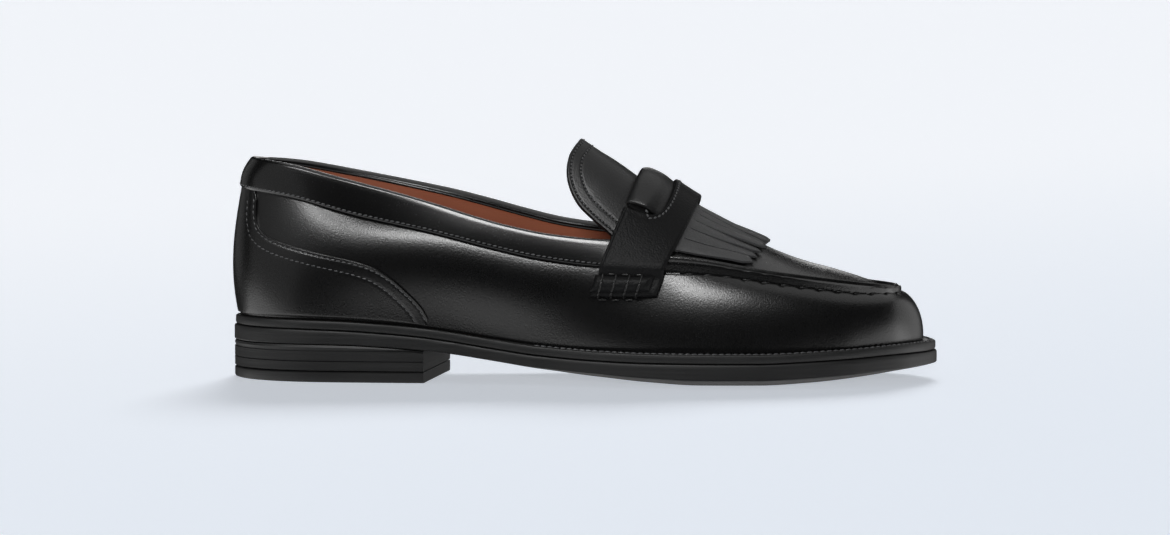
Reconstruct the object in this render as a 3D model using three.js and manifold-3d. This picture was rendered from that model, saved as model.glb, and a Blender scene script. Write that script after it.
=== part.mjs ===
// Kiltie loafer, the right shoe of a pair, in millimetres: +X to the toe, -Y the outer side, +Z up.
// Every soft piece is cut from one surface, the last, so the pieces keep to each other's curves.
import * as THREE from 'three';
import Module from 'manifold-3d';

const { lerp, smoothstep } = THREE.MathUtils;
const wasm = await Module();
wasm.setup();

// Driving sizes
const LENGTH = 265;
const BALL_WIDTH = 88;
const HEEL_HEIGHT = 23.4;
const FOREFOOT_HEIGHT = 12.7;
const TOE_SPRING = 2.2;
const COLLAR_HEIGHT = 59.6;
const WALL = 1.8;
const GAP = 0.3;

// Leather and sole thicknesses
const OVERLAY = 1.0;
const TONGUE = 1.6;
const STRAP = 2.0;
const KILTIE = 1.6;
const ROLL_LEATHER = 1.5;
const WELT = 3.3;
const WELT_MARGIN = 4.3;
const WELT_STEP = 0.5;
const TOP_PIECE = 4.0;
const INSOLE = 2.5;
const SIDE_GROOVE = 0.7;

// Raised apron seam
const RIDGE_HEIGHT = 3.5;
const RIDGE_WIDTH = 2.6;

const OUTER = -1;
const INNER = 1;
const TOE = 12;
const ORIGIN = new THREE.Vector3();

function table(columns, rows) {
  const names = columns.split(' ');
  return rows.map((row) => Object.fromEntries(names.map((name, i) => [name, row[i]])));
}

// The sole seen from the side: x is a share of the length. The top of the welt rises to the heel and
// springs at the toe; thick is from there to the underside's edge, and lift is how far that edge
// stands above the middle of the underside.
const PROFILE = table('x rise spring thick lift', [
  [0.0, 1.0, 0.0, 9.3, 0.0],
  [0.09, 0.99, 0.0, 9.1, 0.0],
  [0.16, 0.95, 0.0, 8.8, 0.0],
  [0.23, 0.85, 0.0, 8.5, 0.0],
  [0.28, 0.74, 0.0, 8.4, 0.0],
  [0.32, 0.61, 0.0, 8.2, 0.0],
  [0.38, 0.385, 0.0, 8.0, 0.6],
  [0.45, 0.16, 0.0, 8.0, 1.4],
  [0.53, 0.04, 0.0, 8.3, 2.3],
  [0.6, 0.0, 0.0, 8.9, 2.9],
  [0.67, 0.0, 0.0, 9.5, 3.2],
  [0.76, 0.0, 0.0, 9.5, 3.2],
  [0.82, 0.0, 0.25, 9.4, 3.1],
  [0.885, 0.0, 0.6, 9.2, 2.6],
  [0.955, 0.0, 1.0, 8.9, 1.7],
  [1.0, 0.0, 0.9, 8.3, 1.0],
]);

// Thirteen stations run from the back of the heel (0) round one side to the tip of the toe (12).
// x is a share of the length; middle and half are shares of the ball width; margin is a share of
// how far the welt stands out from the upper at the ball.
const OUTLINE = table('x middle half margin', [
  [0.0, 0.0, 0.0, 0.53],
  [0.03, 0.0, 0.199, 0.53],
  [0.1, -0.003, 0.31, 0.53],
  [0.2, -0.006, 0.33, 0.53],
  [0.33, -0.023, 0.318, 0.58],
  [0.45, -0.051, 0.335, 0.7],
  [0.555, -0.06, 0.401, 0.9],
  [0.65, -0.035, 0.473, 1.0],
  [0.74, -0.003, 0.497, 1.0],
  [0.825, 0.017, 0.466, 1.0],
  [0.9, 0.045, 0.402, 1.05],
  [0.965, 0.071, 0.262, 1.15],
  [1.0, 0.08, 0.0, 1.19],
]);

// The main seam of the last: the collar band's lower edge behind, the apron seam in front. high is a
// share of the collar height over the sole, tilt what the inner side has more than the outer, and
// low and shoulder are how far the wall below swells past the straight line, in millimetres.
const SEAM = table('x middle half high tilt low shoulder', [
  [0.0137, 0.0, 0.0, 0.815, 0.0, 2.4, 2.6],
  [0.036, 0.0, 0.135, 0.795, 0.0, 2.4, 2.6],
  [0.101, 0.0, 0.235, 0.747, 0.004, 2.2, 3.6],
  [0.197, -0.006, 0.288, 0.66, 0.016, 2.0, 3.4],
  [0.333, -0.017, 0.33, 0.593, 0.023, 2.6, 2.6],
  [0.481, -0.026, 0.361, 0.543, 0.025, 3.0, 2.2],
  [0.598, -0.017, 0.375, 0.519, 0.019, 3.0, 3.0],
  [0.686, 0.002, 0.375, 0.497, 0.012, 2.2, 4.5],
  [0.765, 0.016, 0.359, 0.44, 0.003, 1.5, 5.5],
  [0.83, 0.023, 0.318, 0.379, -0.007, 1.2, 5.5],
  [0.89, 0.037, 0.255, 0.328, -0.011, 0.8, 5.0],
  [0.935, 0.043, 0.152, 0.308, -0.007, 0.6, 4.8],
  [0.951, 0.045, 0.0, 0.309, 0.0, 0.5, 4.6],
]);

// The crest of the last: the edge of its cone behind, the line of the instep and vamp in front.
// arch is the power of the curve from the seam up to it.
const CREST = table('x middle half high arch', [
  [0.05, 0.0, 0.0, 1.285, 1.1],
  [0.062, 0.0, 0.11, 1.285, 1.1],
  [0.118, 0.0, 0.172, 1.272, 1.15],
  [0.235, 0.0, 0.193, 1.267, 1.3],
  [0.447, 0.0, 0.0, 1.384, 1.7],
  [0.538, 0.0, 0.0, 1.228, 2.1],
  [0.642, 0.0, 0.0, 0.911, 2.2],
  [0.727, 0.006, 0.0, 0.696, 2.1],
  [0.799, 0.017, 0.0, 0.549, 2.0],
  [0.856, 0.028, 0.0, 0.454, 2.0],
  [0.898, 0.037, 0.0, 0.384, 2.0],
  [0.92, 0.043, 0.0, 0.341, 2.0],
  [0.932, 0.045, 0.0, 0.326, 2.0],
]);

// The collar line from the heel to the strap, over the sole as a share of the collar height.
const COLLAR = table('high tilt', [
  [1.0, 0.0],
  [0.985, -0.003],
  [0.933, 0.0],
  [0.847, 0.0185],
  [0.742, 0.039],
  [0.692, 0.03],
  [0.68, 0.025],
  [0.68, 0.025],
]);
const THROAT_START = 5.6;
const THROAT_END = 5.95;

// Upper edge of the counter, from the back of the heel round to where it meets the sole.
const COUNTER_EDGE = table('station high', [
  [0.0, 0.782],
  [0.35, 0.78],
  [0.7, 0.772],
  [0.98, 0.768],
  [1.13, 0.74],
  [1.19, 0.64],
  [1.3, 0.56],
  [1.56, 0.505],
  [1.91, 0.465],
  [2.3, 0.431],
  [2.66, 0.404],
  [2.92, 0.384],
  [3.14, 0.354],
  [3.32, 0.3],
  [3.5, 0.213],
  [3.64, 0.126],
  [3.7, 0.06],
]);

// Back edge of the tongue: reach runs from the crest (0) to the tucked corner (1).
const TONGUE_EDGE = table('reach station', [
  [0.0, 4.52],
  [0.17, 4.54],
  [0.43, 4.57],
  [0.58, 4.63],
  [0.66, 4.75],
  [0.71, 4.86],
  [0.76, 5.03],
  [0.82, 5.24],
  [0.88, 5.42],
  [1.0, 5.6],
]);
const TONGUE_FRONT = 6.3;
const TONGUE_LOW = 0.03;

// Columns that change sign from the outer to the inner side.
const ODD = new Set(['half', 'tilt']);

// Smooth value of a column at a station; the rows are mirrored past the heel and the toe.
function at(rows, name, station) {
  const last = rows.length - 1;
  const pick = (i) => {
    const sign = (i < 0 || i > last) && ODD.has(name) ? -1 : 1;
    const j = i < 0 ? -i : Math.min(i, 2 * last - i);
    return sign * rows[j][name];
  };
  const i = Math.floor(station);
  const t = station - i;
  const [a, b, c, d] = [pick(i - 1), pick(i), pick(i + 1), pick(i + 2)];
  const bend = 2 * a - 5 * b + 4 * c - d;
  return 0.5 * (2 * b + (c - a) * t + bend * t * t + (3 * b - a - 3 * c + d) * t ** 3);
}

// Smooth value of a column between unevenly spaced keys, with no overshoot.
function along(rows, key, name, value) {
  const last = rows.length - 2;
  const found = rows.findIndex((row, i) => i > last || value < rows[i + 1][key]);
  const i = Math.min(found, last);
  const slope = (k) => {
    const [from, to] = [rows[k], rows[k + 1]];
    return from && to ? (to[name] - from[name]) / (to[key] - from[key]) : NaN;
  };
  const tangent = (k) => {
    const [before, after] = [slope(k - 1), slope(k)];
    if (Number.isNaN(before)) return after;
    if (Number.isNaN(after)) return before;
    return before * after > 0 ? (2 * before * after) / (before + after) : 0;
  };
  const width = rows[i + 1][key] - rows[i][key];
  const t = THREE.MathUtils.clamp((value - rows[i][key]) / width, 0, 1);
  const [start, end] = [tangent(i) * width, tangent(i + 1) * width];
  const rise = rows[i + 1][name] - rows[i][name];
  const bend = 3 * rise - 2 * start - end;
  return rows[i][name] + start * t + bend * t * t + (start + end - 2 * rise) * t ** 3;
}

function spread(from, to, count) {
  return Array.from({ length: count + 1 }, (_, i) => lerp(from, to, i / count));
}

// The sole's levels at a place along it
function bedHeight(x) {
  const share = x / LENGTH;
  const rise = (HEEL_HEIGHT - FOREFOOT_HEIGHT) * along(PROFILE, 'x', 'rise', share);
  return FOREFOOT_HEIGHT + rise + TOE_SPRING * along(PROFILE, 'x', 'spring', share);
}

function underHeight(x) {
  return bedHeight(x) - along(PROFILE, 'x', 'thick', x / LENGTH);
}

function underMiddle(x) {
  return Math.max(0, underHeight(x) - along(PROFILE, 'x', 'lift', x / LENGTH));
}

// A point of the sole's outline, moved in from the edge
function soleEdge(station, side, inset = 0) {
  const point = (s) => new THREE.Vector2(
    at(OUTLINE, 'x', s) * LENGTH,
    (at(OUTLINE, 'middle', s) + side * at(OUTLINE, 'half', s)) * BALL_WIDTH,
  );
  const step = 0.02;
  const run = point(station + step).sub(point(station - step)).normalize();
  const inward = new THREE.Vector2(side * run.y, -side * run.x);
  return point(station).addScaledVector(inward, inset);
}

function seamPoint(station, side) {
  const x = at(SEAM, 'x', station) * LENGTH;
  const high = at(SEAM, 'high', station) + (side * at(SEAM, 'tilt', station));
  const y = (at(SEAM, 'middle', station) + side * at(SEAM, 'half', station)) * BALL_WIDTH;
  return new THREE.Vector3(x, y, bedHeight(x) + high * COLLAR_HEIGHT);
}

function crestPoint(station, side) {
  const x = at(CREST, 'x', station) * LENGTH;
  const half = Math.max(0, at(CREST, 'half', Math.abs(station))) * Math.sign(station || 1);
  const y = (at(CREST, 'middle', station) + side * half) * BALL_WIDTH;
  return new THREE.Vector3(x, y, bedHeight(x) + at(CREST, 'high', station) * COLLAR_HEIGHT);
}

// The last: v runs from the feather line (0) up the wall to the seam (1) and on to the crest (2).
function lastPoint(station, side, v) {
  const seam = seamPoint(station, side);
  if (v > 1) {
    const crest = crestPoint(station, side);
    const w = v - 1;
    const climb = 1 - Math.abs(1 - w) ** at(CREST, 'arch', station);
    const point = seam.clone().lerp(crest, climb);
    point.y = lerp(seam.y, crest.y, w);
    return point;
  }
  const margin = at(OUTLINE, 'margin', station) * WELT_MARGIN;
  const foot = soleEdge(station, side, margin);
  const out = foot.clone().sub(soleEdge(station, side, margin + 1));
  const base = new THREE.Vector3(foot.x, foot.y, bedHeight(foot.x) + GAP);
  const outward = new THREE.Vector3(out.x, out.y, 0);
  const tall = seam.z - base.z;
  const vamp = smoothstep(station, 5, 8);
  const low = base.clone().addScaledVector(outward, at(SEAM, 'low', station));
  low.z += lerp(0.38, 0.5, vamp) * tall;
  const high = seam.clone().addScaledVector(outward, at(SEAM, 'shoulder', station));
  high.z -= lerp(0.33, 0.12, vamp) * tall;
  return new THREE.CubicBezierCurve3(base, low, high, seam).getPoint(v);
}

// A point off the last along its normal. The crest is one line for both sides.
function offLast(station, side, v, lift) {
  const face = v >= 2 && station > THROAT_START - 1.5 ? OUTER : side;
  const step = 0.01;
  const back = lastPoint(station - step, face, v);
  const down = lastPoint(station, face, v - step);
  const run = lastPoint(station + step, face, v).sub(back);
  const climb = lastPoint(station, face, v + step).sub(down);
  const normal = run.cross(climb).multiplyScalar(-face).normalize();
  if (v >= 2 && station > THROAT_START - 1.5) normal.y = 0;
  return lastPoint(station, face, v).addScaledVector(normal.normalize(), lift);
}

// v of the place on the wall that has this height over the sole
function wallAt(station, side, high) {
  const target = bedHeight(seamPoint(station, side).x) + high * COLLAR_HEIGHT;
  let [low, top] = [0, 1];
  for (let i = 0; i < 24; i += 1) {
    const middle = (low + top) / 2;
    if (lastPoint(station, side, middle).z < target) low = middle;
    else top = middle;
  }
  return low;
}

// v of the upper's top edge: the collar line, then the throat, then the crest of the vamp
function topEdge(station, side) {
  if (station >= THROAT_END) return 2;
  const seam = seamPoint(station, side);
  const crest = crestPoint(station, side);
  const high = at(COLLAR, 'high', station) + side * at(COLLAR, 'tilt', station);
  const climb = (bedHeight(seam.x) + high * COLLAR_HEIGHT - seam.z) / (crest.z - seam.z);
  const w = 1 - (1 - climb) ** (1 / at(CREST, 'arch', station));
  return 1 + lerp(w, 1, smoothstep(station, THROAT_START, THROAT_END));
}

// A closed solid from points and quads: equal points become one, and empty faces go.
function solid(points, quads) {
  const seen = new Map();
  const vertices = [];
  const index = points.map((p) => {
    const key = [p.x, p.y, p.z].map((c) => Math.round(c * 1e4)).join();
    if (!seen.has(key)) seen.set(key, vertices.push(p) - 1);
    return seen.get(key);
  });
  const triangles = quads
    .flatMap(([a, b, c, d]) => [[a, b, c], [a, c, d]])
    .map((triangle) => triangle.map((i) => index[i]))
    .filter(([a, b, c]) => a !== b && b !== c && c !== a);
  const volume = triangles.reduce((sum, [a, b, c]) => {
    const area = new THREE.Vector3().crossVectors(vertices[b], vertices[c]);
    return sum + vertices[a].dot(area);
  }, 0);
  const outward = volume < 0 ? triangles.map(([a, b, c]) => [a, c, b]) : triangles;
  return new wasm.Manifold(new wasm.Mesh({
    numProp: 3,
    vertProperties: new Float32Array(vertices.flatMap((p) => p.toArray())),
    triVerts: new Uint32Array(outward.flat()),
  }));
}

// A solid from loops laid over each other. Each loop goes out along one side and back along the
// other, and the end loops are filled across from side to side.
function stack(loops) {
  const count = loops[0].length;
  const last = (loops.length - 1) * count;
  const quads = [];
  loops.slice(1).forEach((_, i) => {
    for (let k = 0; k < count; k += 1) {
      const next = (k + 1) % count;
      const [low, high] = [i * count, (i + 1) * count];
      quads.push([low + k, low + next, high + next, high + k]);
    }
  });
  for (let k = 0; k < count / 2 - 1; k += 1) {
    const far = count - 1 - k;
    quads.push([k, far, far - 1, k + 1]);
    quads.push([last + k, last + k + 1, last + far - 1, last + far]);
  }
  return solid(loops.flat(), quads);
}

// A solid sheet of cells: place(i, j, face) gives its points, with face 0 below and 1 above, and
// keep(i, j) says which cells are there.
function sheet(columns, rows, place, keep = () => true) {
  const points = [];
  const index = (i, j, face) => (i * (rows + 1) + j) * 2 + face;
  for (let i = 0; i <= columns; i += 1) {
    for (let j = 0; j <= rows; j += 1) points.push(place(i, j, 0), place(i, j, 1));
  }
  const filled = (i, j) => i >= 0 && j >= 0 && i < columns && j < rows && keep(i, j);
  const quads = [];
  for (let i = 0; i < columns; i += 1) {
    for (let j = 0; j < rows; j += 1) {
      if (!filled(i, j)) continue;
      const corners = [[i, j], [i + 1, j], [i + 1, j + 1], [i, j + 1]];
      const beside = [[i, j - 1], [i + 1, j], [i, j + 1], [i - 1, j]];
      quads.push(corners.map(([a, b]) => index(a, b, 1)));
      quads.push(corners.map(([a, b]) => index(a, b, 0)).reverse());
      beside.forEach(([a, b], k) => {
        if (filled(a, b)) return;
        const [from, to] = [corners[k], corners[(k + 1) % 4]];
        quads.push([index(...from, 0), index(...to, 0), index(...to, 1), index(...from, 1)]);
      });
    }
  }
  return solid(points, quads);
}

// The stations of both sides as one loop: out along the outer side and back along the inner
function bothSides(stations, place) {
  const back = [...stations].reverse();
  return [...stations.map((s) => place(s, OUTER)), ...back.map((s) => place(s, INNER))];
}

// Levels of the sole, each an inset and a height that depends on x
function soleSlab(stations, levels) {
  return stack(levels.map(([inset, height]) => bothSides(stations, (station, side) => {
    const edge = soleEdge(station, side, inset);
    return new THREE.Vector3(edge.x, edge.y, height(edge.x));
  })));
}

const SOLE_STATIONS = spread(0, TOE, 42);

function outsole() {
  const top = (x) => bedHeight(x) - WELT - GAP;
  return soleSlab(SOLE_STATIONS, [
    [11, underMiddle],
    [8, (x) => lerp(underMiddle(x), underHeight(x), 0.02)],
    [1.2, (x) => lerp(underMiddle(x), underHeight(x), 0.9)],
    [0, (x) => underHeight(x) + 0.5],
    [0, (x) => top(x) - SIDE_GROOVE],
    [SIDE_GROOVE, top],
  ]);
}

function welt() {
  return soleSlab(SOLE_STATIONS, [
    [WELT_STEP + SIDE_GROOVE, (x) => bedHeight(x) - WELT],
    [WELT_STEP, (x) => bedHeight(x) - WELT + SIDE_GROOVE],
    [WELT_STEP, (x) => bedHeight(x) - SIDE_GROOVE],
    [WELT_STEP + SIDE_GROOVE, bedHeight],
  ]);
}

// The heel ends at its breast, which reaches a little further forward on the inner side.
const BREAST = 0.291 * LENGTH;
const BREAST_SLANT = 0.065;

function heelStations(side) {
  let [low, high] = [2, 5];
  for (let i = 0; i < 24; i += 1) {
    const middle = (low + high) / 2;
    const edge = soleEdge(middle, side);
    if (edge.x < BREAST + BREAST_SLANT * edge.y) low = middle;
    else high = middle;
  }
  return spread(0, low, 20);
}

function heelSlab(levels) {
  const [outer, inner] = [heelStations(OUTER), heelStations(INNER)];
  return stack(levels.map(([inset, height]) => {
    const place = (side) => (station) => {
      const edge = soleEdge(station, side, inset);
      return new THREE.Vector3(edge.x, edge.y, height(edge.x));
    };
    return [...outer.map(place(OUTER)), ...inner.map(place(INNER)).reverse()];
  }));
}

function heelTopPiece() {
  return heelSlab([
    [0.9, () => 0],
    [0.1, () => 0.8],
    [0.1, () => TOP_PIECE - 0.4],
    [SIDE_GROOVE, () => TOP_PIECE],
  ]);
}

// Two lifts and the wedge that levels them, parted by grooves in the side
function heelBlock() {
  const top = (x) => underHeight(x) - GAP;
  const first = TOP_PIECE + GAP;
  const second = first + 3.6;
  const wedge = (x) => Math.min(second + 3.9, top(x) - 0.5);
  const groove = 0.35;
  return heelSlab([
    [SIDE_GROOVE, () => first],
    [0.1, () => first + groove],
    [0.1, () => second - groove],
    [SIDE_GROOVE, () => second],
    [0.1, () => second + groove],
    [0.1, (x) => wedge(x) - groove],
    [SIDE_GROOVE, wedge],
    [0.1, (x) => wedge(x) + 0.6 * (top(x) - wedge(x))],
    [0.4, top],
  ]);
}

function insole() {
  const reach = (station) => at(OUTLINE, 'margin', station) * WELT_MARGIN + WALL + GAP + 0.2;
  const loop = (lift, taper) => bothSides(SOLE_STATIONS, (station, side) => {
    const edge = soleEdge(station, side, reach(station) + taper);
    return new THREE.Vector3(edge.x, edge.y, bedHeight(edge.x) + lift);
  });
  return stack([loop(GAP, 0.4), loop(GAP + 0.5, 0), loop(GAP + INSOLE, 0.3)]);
}

// The upper: one shell with a raised apron seam, open at the collar, the throat and the bottom
const UPPER_STATIONS = [
  ...spread(0, 5.4, 16),
  ...spread(THROAT_START, THROAT_END, 5),
  ...spread(6.15, TOE, 19),
];

function ridgeShare(station, side) {
  return RIDGE_WIDTH / seamPoint(station, side).distanceTo(crestPoint(station, side));
}

function upper() {
  const wallRows = [0, 0.08, 0.22, 0.38, 0.55, 0.72, 0.88, 1];
  const ridgeRows = table('share raise', [[0.15, 0.85], [0.5, 1], [0.85, 0.8], [1.15, 0]]);
  const panelRows = [0.16, 0.36, 0.58, 0.8, 1];
  const outside = (station, side) => {
    const top = topEdge(station, side);
    const ridge = Math.min(ridgeShare(station, side), 0.6 * (top - 1));
    const height = RIDGE_HEIGHT * smoothstep(station, 6.27, 6.5);
    const lean = soleEdge(station, side).sub(soleEdge(station, side, 0.3));
    const foot = 1 + 1.15 * ridge;
    return [
      ...wallRows.map((v) => lastPoint(station, side, v)),
      ...ridgeRows.map(({ share, raise }) => {
        const point = lastPoint(station, side, 1 + share * ridge);
        return point.add(new THREE.Vector3(lean.x, lean.y, 1).multiplyScalar(height * raise));
      }),
      ...panelRows.map((share) => offLast(station, side, lerp(foot, top, share), 0)),
    ];
  };
  const inside = (station, side) => {
    const top = topEdge(station, side);
    const panel = [0.15, 0.35, 0.6, 0.8, 1].map((share) => lerp(1, top, share));
    const rows = [0, 0.3, 0.7, 1, ...panel];
    return rows.map((v) => {
      const point = offLast(station, side, v, -WALL);
      if (v === 0) point.z = bedHeight(point.x) + GAP;
      return point;
    });
  };
  const closed = (station, side) => [
    ...outside(station, side),
    ...inside(station, side).reverse(),
  ];
  const columns = bothSides(UPPER_STATIONS, closed);
  const count = columns[0].length;
  const outerCount = wallRows.length + ridgeRows.length + panelRows.length;
  const throat = UPPER_STATIONS.indexOf(THROAT_END);
  const quads = [];
  columns.forEach((_, c) => {
    const next = (c + 1) % columns.length;
    const far = Math.min(c, columns.length - 1 - c, next, columns.length - 1 - next);
    const zipped = far >= throat;
    for (let k = 0; k < count; k += 1) {
      const rim = k === outerCount - 1;
      const [here, there] = [c * count, next * count];
      const up = (k + 1) % count;
      if (!(rim && zipped)) quads.push([here + k, there + k, there + up, here + up]);
    }
  });
  return solid(columns.flat(), quads);
}

// Overlays go round the back of the heel: a signed place is minus on the outer side
function roundHeel(stations) {
  return [...stations.slice(1).reverse().map((s) => -s), ...stations];
}

function overlay(places, rows, span) {
  return sheet(places.length - 1, rows, (i, j, face) => {
    const side = places[i] < 0 ? OUTER : INNER;
    const station = Math.abs(places[i]);
    const [low, high] = span(station, side);
    return offLast(station, side, lerp(low, high, j / rows), GAP + face * OVERLAY);
  });
}

function counter() {
  const places = roundHeel(COUNTER_EDGE.map(({ station }) => station));
  return overlay(places, 5, (station, side) => {
    const high = along(COUNTER_EDGE, 'station', 'high', station);
    return [0.02, wallAt(station, side, high)];
  });
}

function collarBand() {
  const places = roundHeel(spread(0, THROAT_START, 16));
  return overlay(places, 3, (station, side) => [1.03, topEdge(station, side)]);
}

// Pieces that cross the instep: reach goes from -1 on the outer side over the crest to 1
function acrossInstep(reach, low) {
  const side = reach < 0 ? OUTER : INNER;
  return { side, v: 2 - (2 - low) * Math.abs(reach) };
}

function tongue() {
  const lift = -WALL - 3 * GAP - TONGUE;
  const rows = 8;
  const edge = TONGUE_EDGE.map(({ reach }) => reach);
  const reaches = [...edge.slice(1).reverse().map((reach) => -reach), ...edge];
  return sheet(reaches.length - 1, rows, (i, j, face) => {
    const { side, v } = acrossInstep(reaches[i], 1 + TONGUE_LOW);
    const back = along(TONGUE_EDGE, 'reach', 'station', Math.abs(reaches[i]));
    return offLast(lerp(back, TONGUE_FRONT, j / rows), side, v, lift + face * TONGUE);
  });
}

const STRAP_BACK = 5.42;
const STRAP_FRONT = 6.16;
const STRAP_SLANT = 0.11;
const STRAP_END = 0.64;

// The strap lies on the wall at its ends, over the band and the fringe above, and over the folded
// tab at the top.
function strapLift(v) {
  return 0.4 + 2.05 * smoothstep(v, 0.86, 1.03) + smoothstep(v, 1.4, 1.9);
}

function strapFront(v) {
  return STRAP_FRONT + STRAP_SLANT * (2 - v);
}

// Window in the strap's back edge that the rolled tab comes through
const WINDOW_REACH = 0.665;
const WINDOW_FRONT = 5.77;
const WINDOW_SLANT = 0.2;

function strapWindow() {
  const back = STRAP_BACK - 0.4;
  return sheet(12, 5, (i, j, face) => {
    const across = i / 6 - 1;
    const { side, v } = acrossInstep(across * WINDOW_REACH, 1);
    const corner = (1 - Math.abs(across) ** 5) ** 0.2;
    const front = WINDOW_FRONT + WINDOW_SLANT * (2 - v);
    const station = lerp(back, lerp(STRAP_BACK - 0.05, front, corner), j / 5);
    return offLast(station, side, v, face * 9 - 1);
  });
}

function strap() {
  const climb = [0, 0.08, 0.15, 0.19, 0.23, 0.27, 0.31, 0.38, 0.47, 0.57, 0.68, 0.79, 0.9, 1];
  const reaches = [...climb.map((c) => c - 1), ...climb.slice(0, -1).reverse().map((c) => 1 - c)];
  const shares = [0, 0.2, 0.4, 0.6, 0.79, 0.9, 1];
  const body = sheet(reaches.length - 1, shares.length - 1, (i, j, face) => {
    const { side, v } = acrossInstep(reaches[i], STRAP_END);
    const station = lerp(STRAP_BACK, strapFront(v), shares[j]);
    return offLast(station, side, v, strapLift(v) + face * STRAP);
  });
  return body.subtract(strapWindow());
}

// Puffed roll of folded leather that is sewn over each end of the strap
function strapEnd(side) {
  const [columns, rows] = [9, 5];
  return sheet(columns, rows, (i, j, face) => {
    const v = lerp(STRAP_END + 0.05, STRAP_END + 0.265, j / rows);
    const station = lerp(STRAP_BACK - 0.03, strapFront(v) - 0.13, i / columns);
    const crown = Math.sin((Math.PI * (j + 0.35)) / (rows + 0.7));
    const round = crown * Math.sin((Math.PI * (i + 0.5)) / (columns + 1)) ** 0.3;
    return offLast(station, side, v, strapLift(v) + STRAP + GAP + face * 2.9 * round);
  });
}

// Rolled tab: along is the way forward from the strap's back edge, lift the height over the last
const TAB_ROUTE = table('along lift', [
  [17, 1.05],
  [13, 1.15],
  [9, 1.85],
  [5, 2.4],
  [2, 1.8],
  [0.6, 0.4],
  [1.6, -0.9],
  [5, -1.0],
  [9.5, -1.0],
]);
const TAB_REACH = 0.58;
const CREST_PER_STATION = 33.5;

function tabRoll() {
  const curve = new THREE.CatmullRomCurve3(
    TAB_ROUTE.map((row) => new THREE.Vector3(row.along, row.lift, 0)),
  );
  const steps = 15;
  return sheet(8, steps, (i, j, face) => {
    const reach = (i / 4 - 1) * TAB_REACH;
    const { side, v } = acrossInstep(reach, 1);
    const middle = curve.getPointAt(j / steps);
    const run = curve.getTangentAt(j / steps);
    const shift = (face - 0.5) * ROLL_LEATHER;
    const station = STRAP_BACK + (middle.x - run.y * shift) / CREST_PER_STATION;
    return offLast(station, side, v, middle.y + run.x * shift);
  });
}

// Kiltie: a plain band under the strap, fused with a fringe of strips parted by slits
const FRINGE_STRIPS = 11;
const FRINGE_SLIT = 0.022;
const KILTIE_LOW = 1.17;
const KILTIE_BACK = 5.97;
const FRINGE_ROOT = 6.42;
const FRINGE_TIP = 7.38;
const FRINGE_SLANT = 0.1;

function kiltie() {
  const [bandRows, fringeRows] = [3, 5];
  const reachOf = (i) => {
    const inset = (i % 2 ? -1 : 1) * (FRINGE_SLIT / 2);
    const edge = (2 * Math.ceil(i / 2)) / FRINGE_STRIPS - 1;
    return i === 0 || i === 2 * FRINGE_STRIPS - 1 ? edge : edge + inset;
  };
  return sheet(2 * FRINGE_STRIPS - 1, bandRows + fringeRows, (i, j, face) => {
    const uneven = Math.sin(2.4 * Math.floor(i / 2) + 1);
    const out = Math.max(0, j - bandRows) / fringeRows;
    const { side, v } = acrossInstep(reachOf(i), KILTIE_LOW);
    const tip = FRINGE_TIP + FRINGE_SLANT * (2 - v) + 0.02 * uneven;
    const band = lerp(KILTIE_BACK, FRINGE_ROOT, Math.min(1, j / bandRows));
    const lift = 2 * GAP + face * KILTIE + (0.7 + 0.4 * uneven) * out ** 2;
    return offLast(lerp(band, tip, out), side, v, lift);
  }, (i, j) => i % 2 === 0 || j < bandRows);
}

function geometryOf(body) {
  const { vertProperties, triVerts } = body.getMesh();
  const geometry = new THREE.BufferGeometry();
  geometry.setAttribute('position', new THREE.BufferAttribute(vertProperties, 3));
  geometry.setIndex(new THREE.BufferAttribute(triVerts, 1));
  geometry.computeVertexNormals();
  return geometry;
}

const FINISHES = {
  leather: { color: 0x101010, roughness: 0.28, metalness: 0 },
  rubber: { color: 0x1f1f20, roughness: 0.6, metalness: 0 },
  lining: { color: 0x6e3c26, roughness: 0.75, metalness: 0 },
};

const PIECES = table('name body finish', [
  ['outsole', outsole(), 'rubber'],
  ['welt', welt(), 'rubber'],
  ['heel_block', heelBlock(), 'rubber'],
  ['heel_top_piece', heelTopPiece(), 'rubber'],
  ['insole', insole(), 'lining'],
  ['upper', upper(), 'leather'],
  ['counter', counter(), 'leather'],
  ['collar_band', collarBand(), 'leather'],
  ['tongue', tongue(), 'leather'],
  ['strap', strap(), 'leather'],
  ['strap_end_outer', strapEnd(OUTER), 'leather'],
  ['strap_end_inner', strapEnd(INNER), 'leather'],
  ['tab_roll', tabRoll(), 'leather'],
  ['kiltie', kiltie(), 'leather'],
]);

// The shoe stands on z = 0 with its origin under the middle of its box.
const shoe = new THREE.Group();
for (const { name, body, finish } of PIECES) {
  const material = new THREE.MeshStandardMaterial(FINISHES[finish]);
  const mesh = new THREE.Mesh(geometryOf(body), material);
  mesh.name = name;
  shoe.add(mesh);
}
const box = new THREE.Box3().setFromObject(shoe);
const centre = box.getCenter(ORIGIN);
shoe.position.set(-centre.x, -centre.y, -box.min.z);

export default shoe;
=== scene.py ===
"""The dressed kiltie loafer: a right shoe in black leather, with a welted sole and a stacked heel.

Every soft piece is laid on one surface, the last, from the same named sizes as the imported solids.
Sizes here are in millimetres, and become metres where a mesh is made.
"""

import logging
import math
from dataclasses import dataclass, field
from enum import Enum
from typing import Any, Callable, Optional, Sequence

import bpy
import numpy as np
from mathutils import Matrix, Vector


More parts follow.
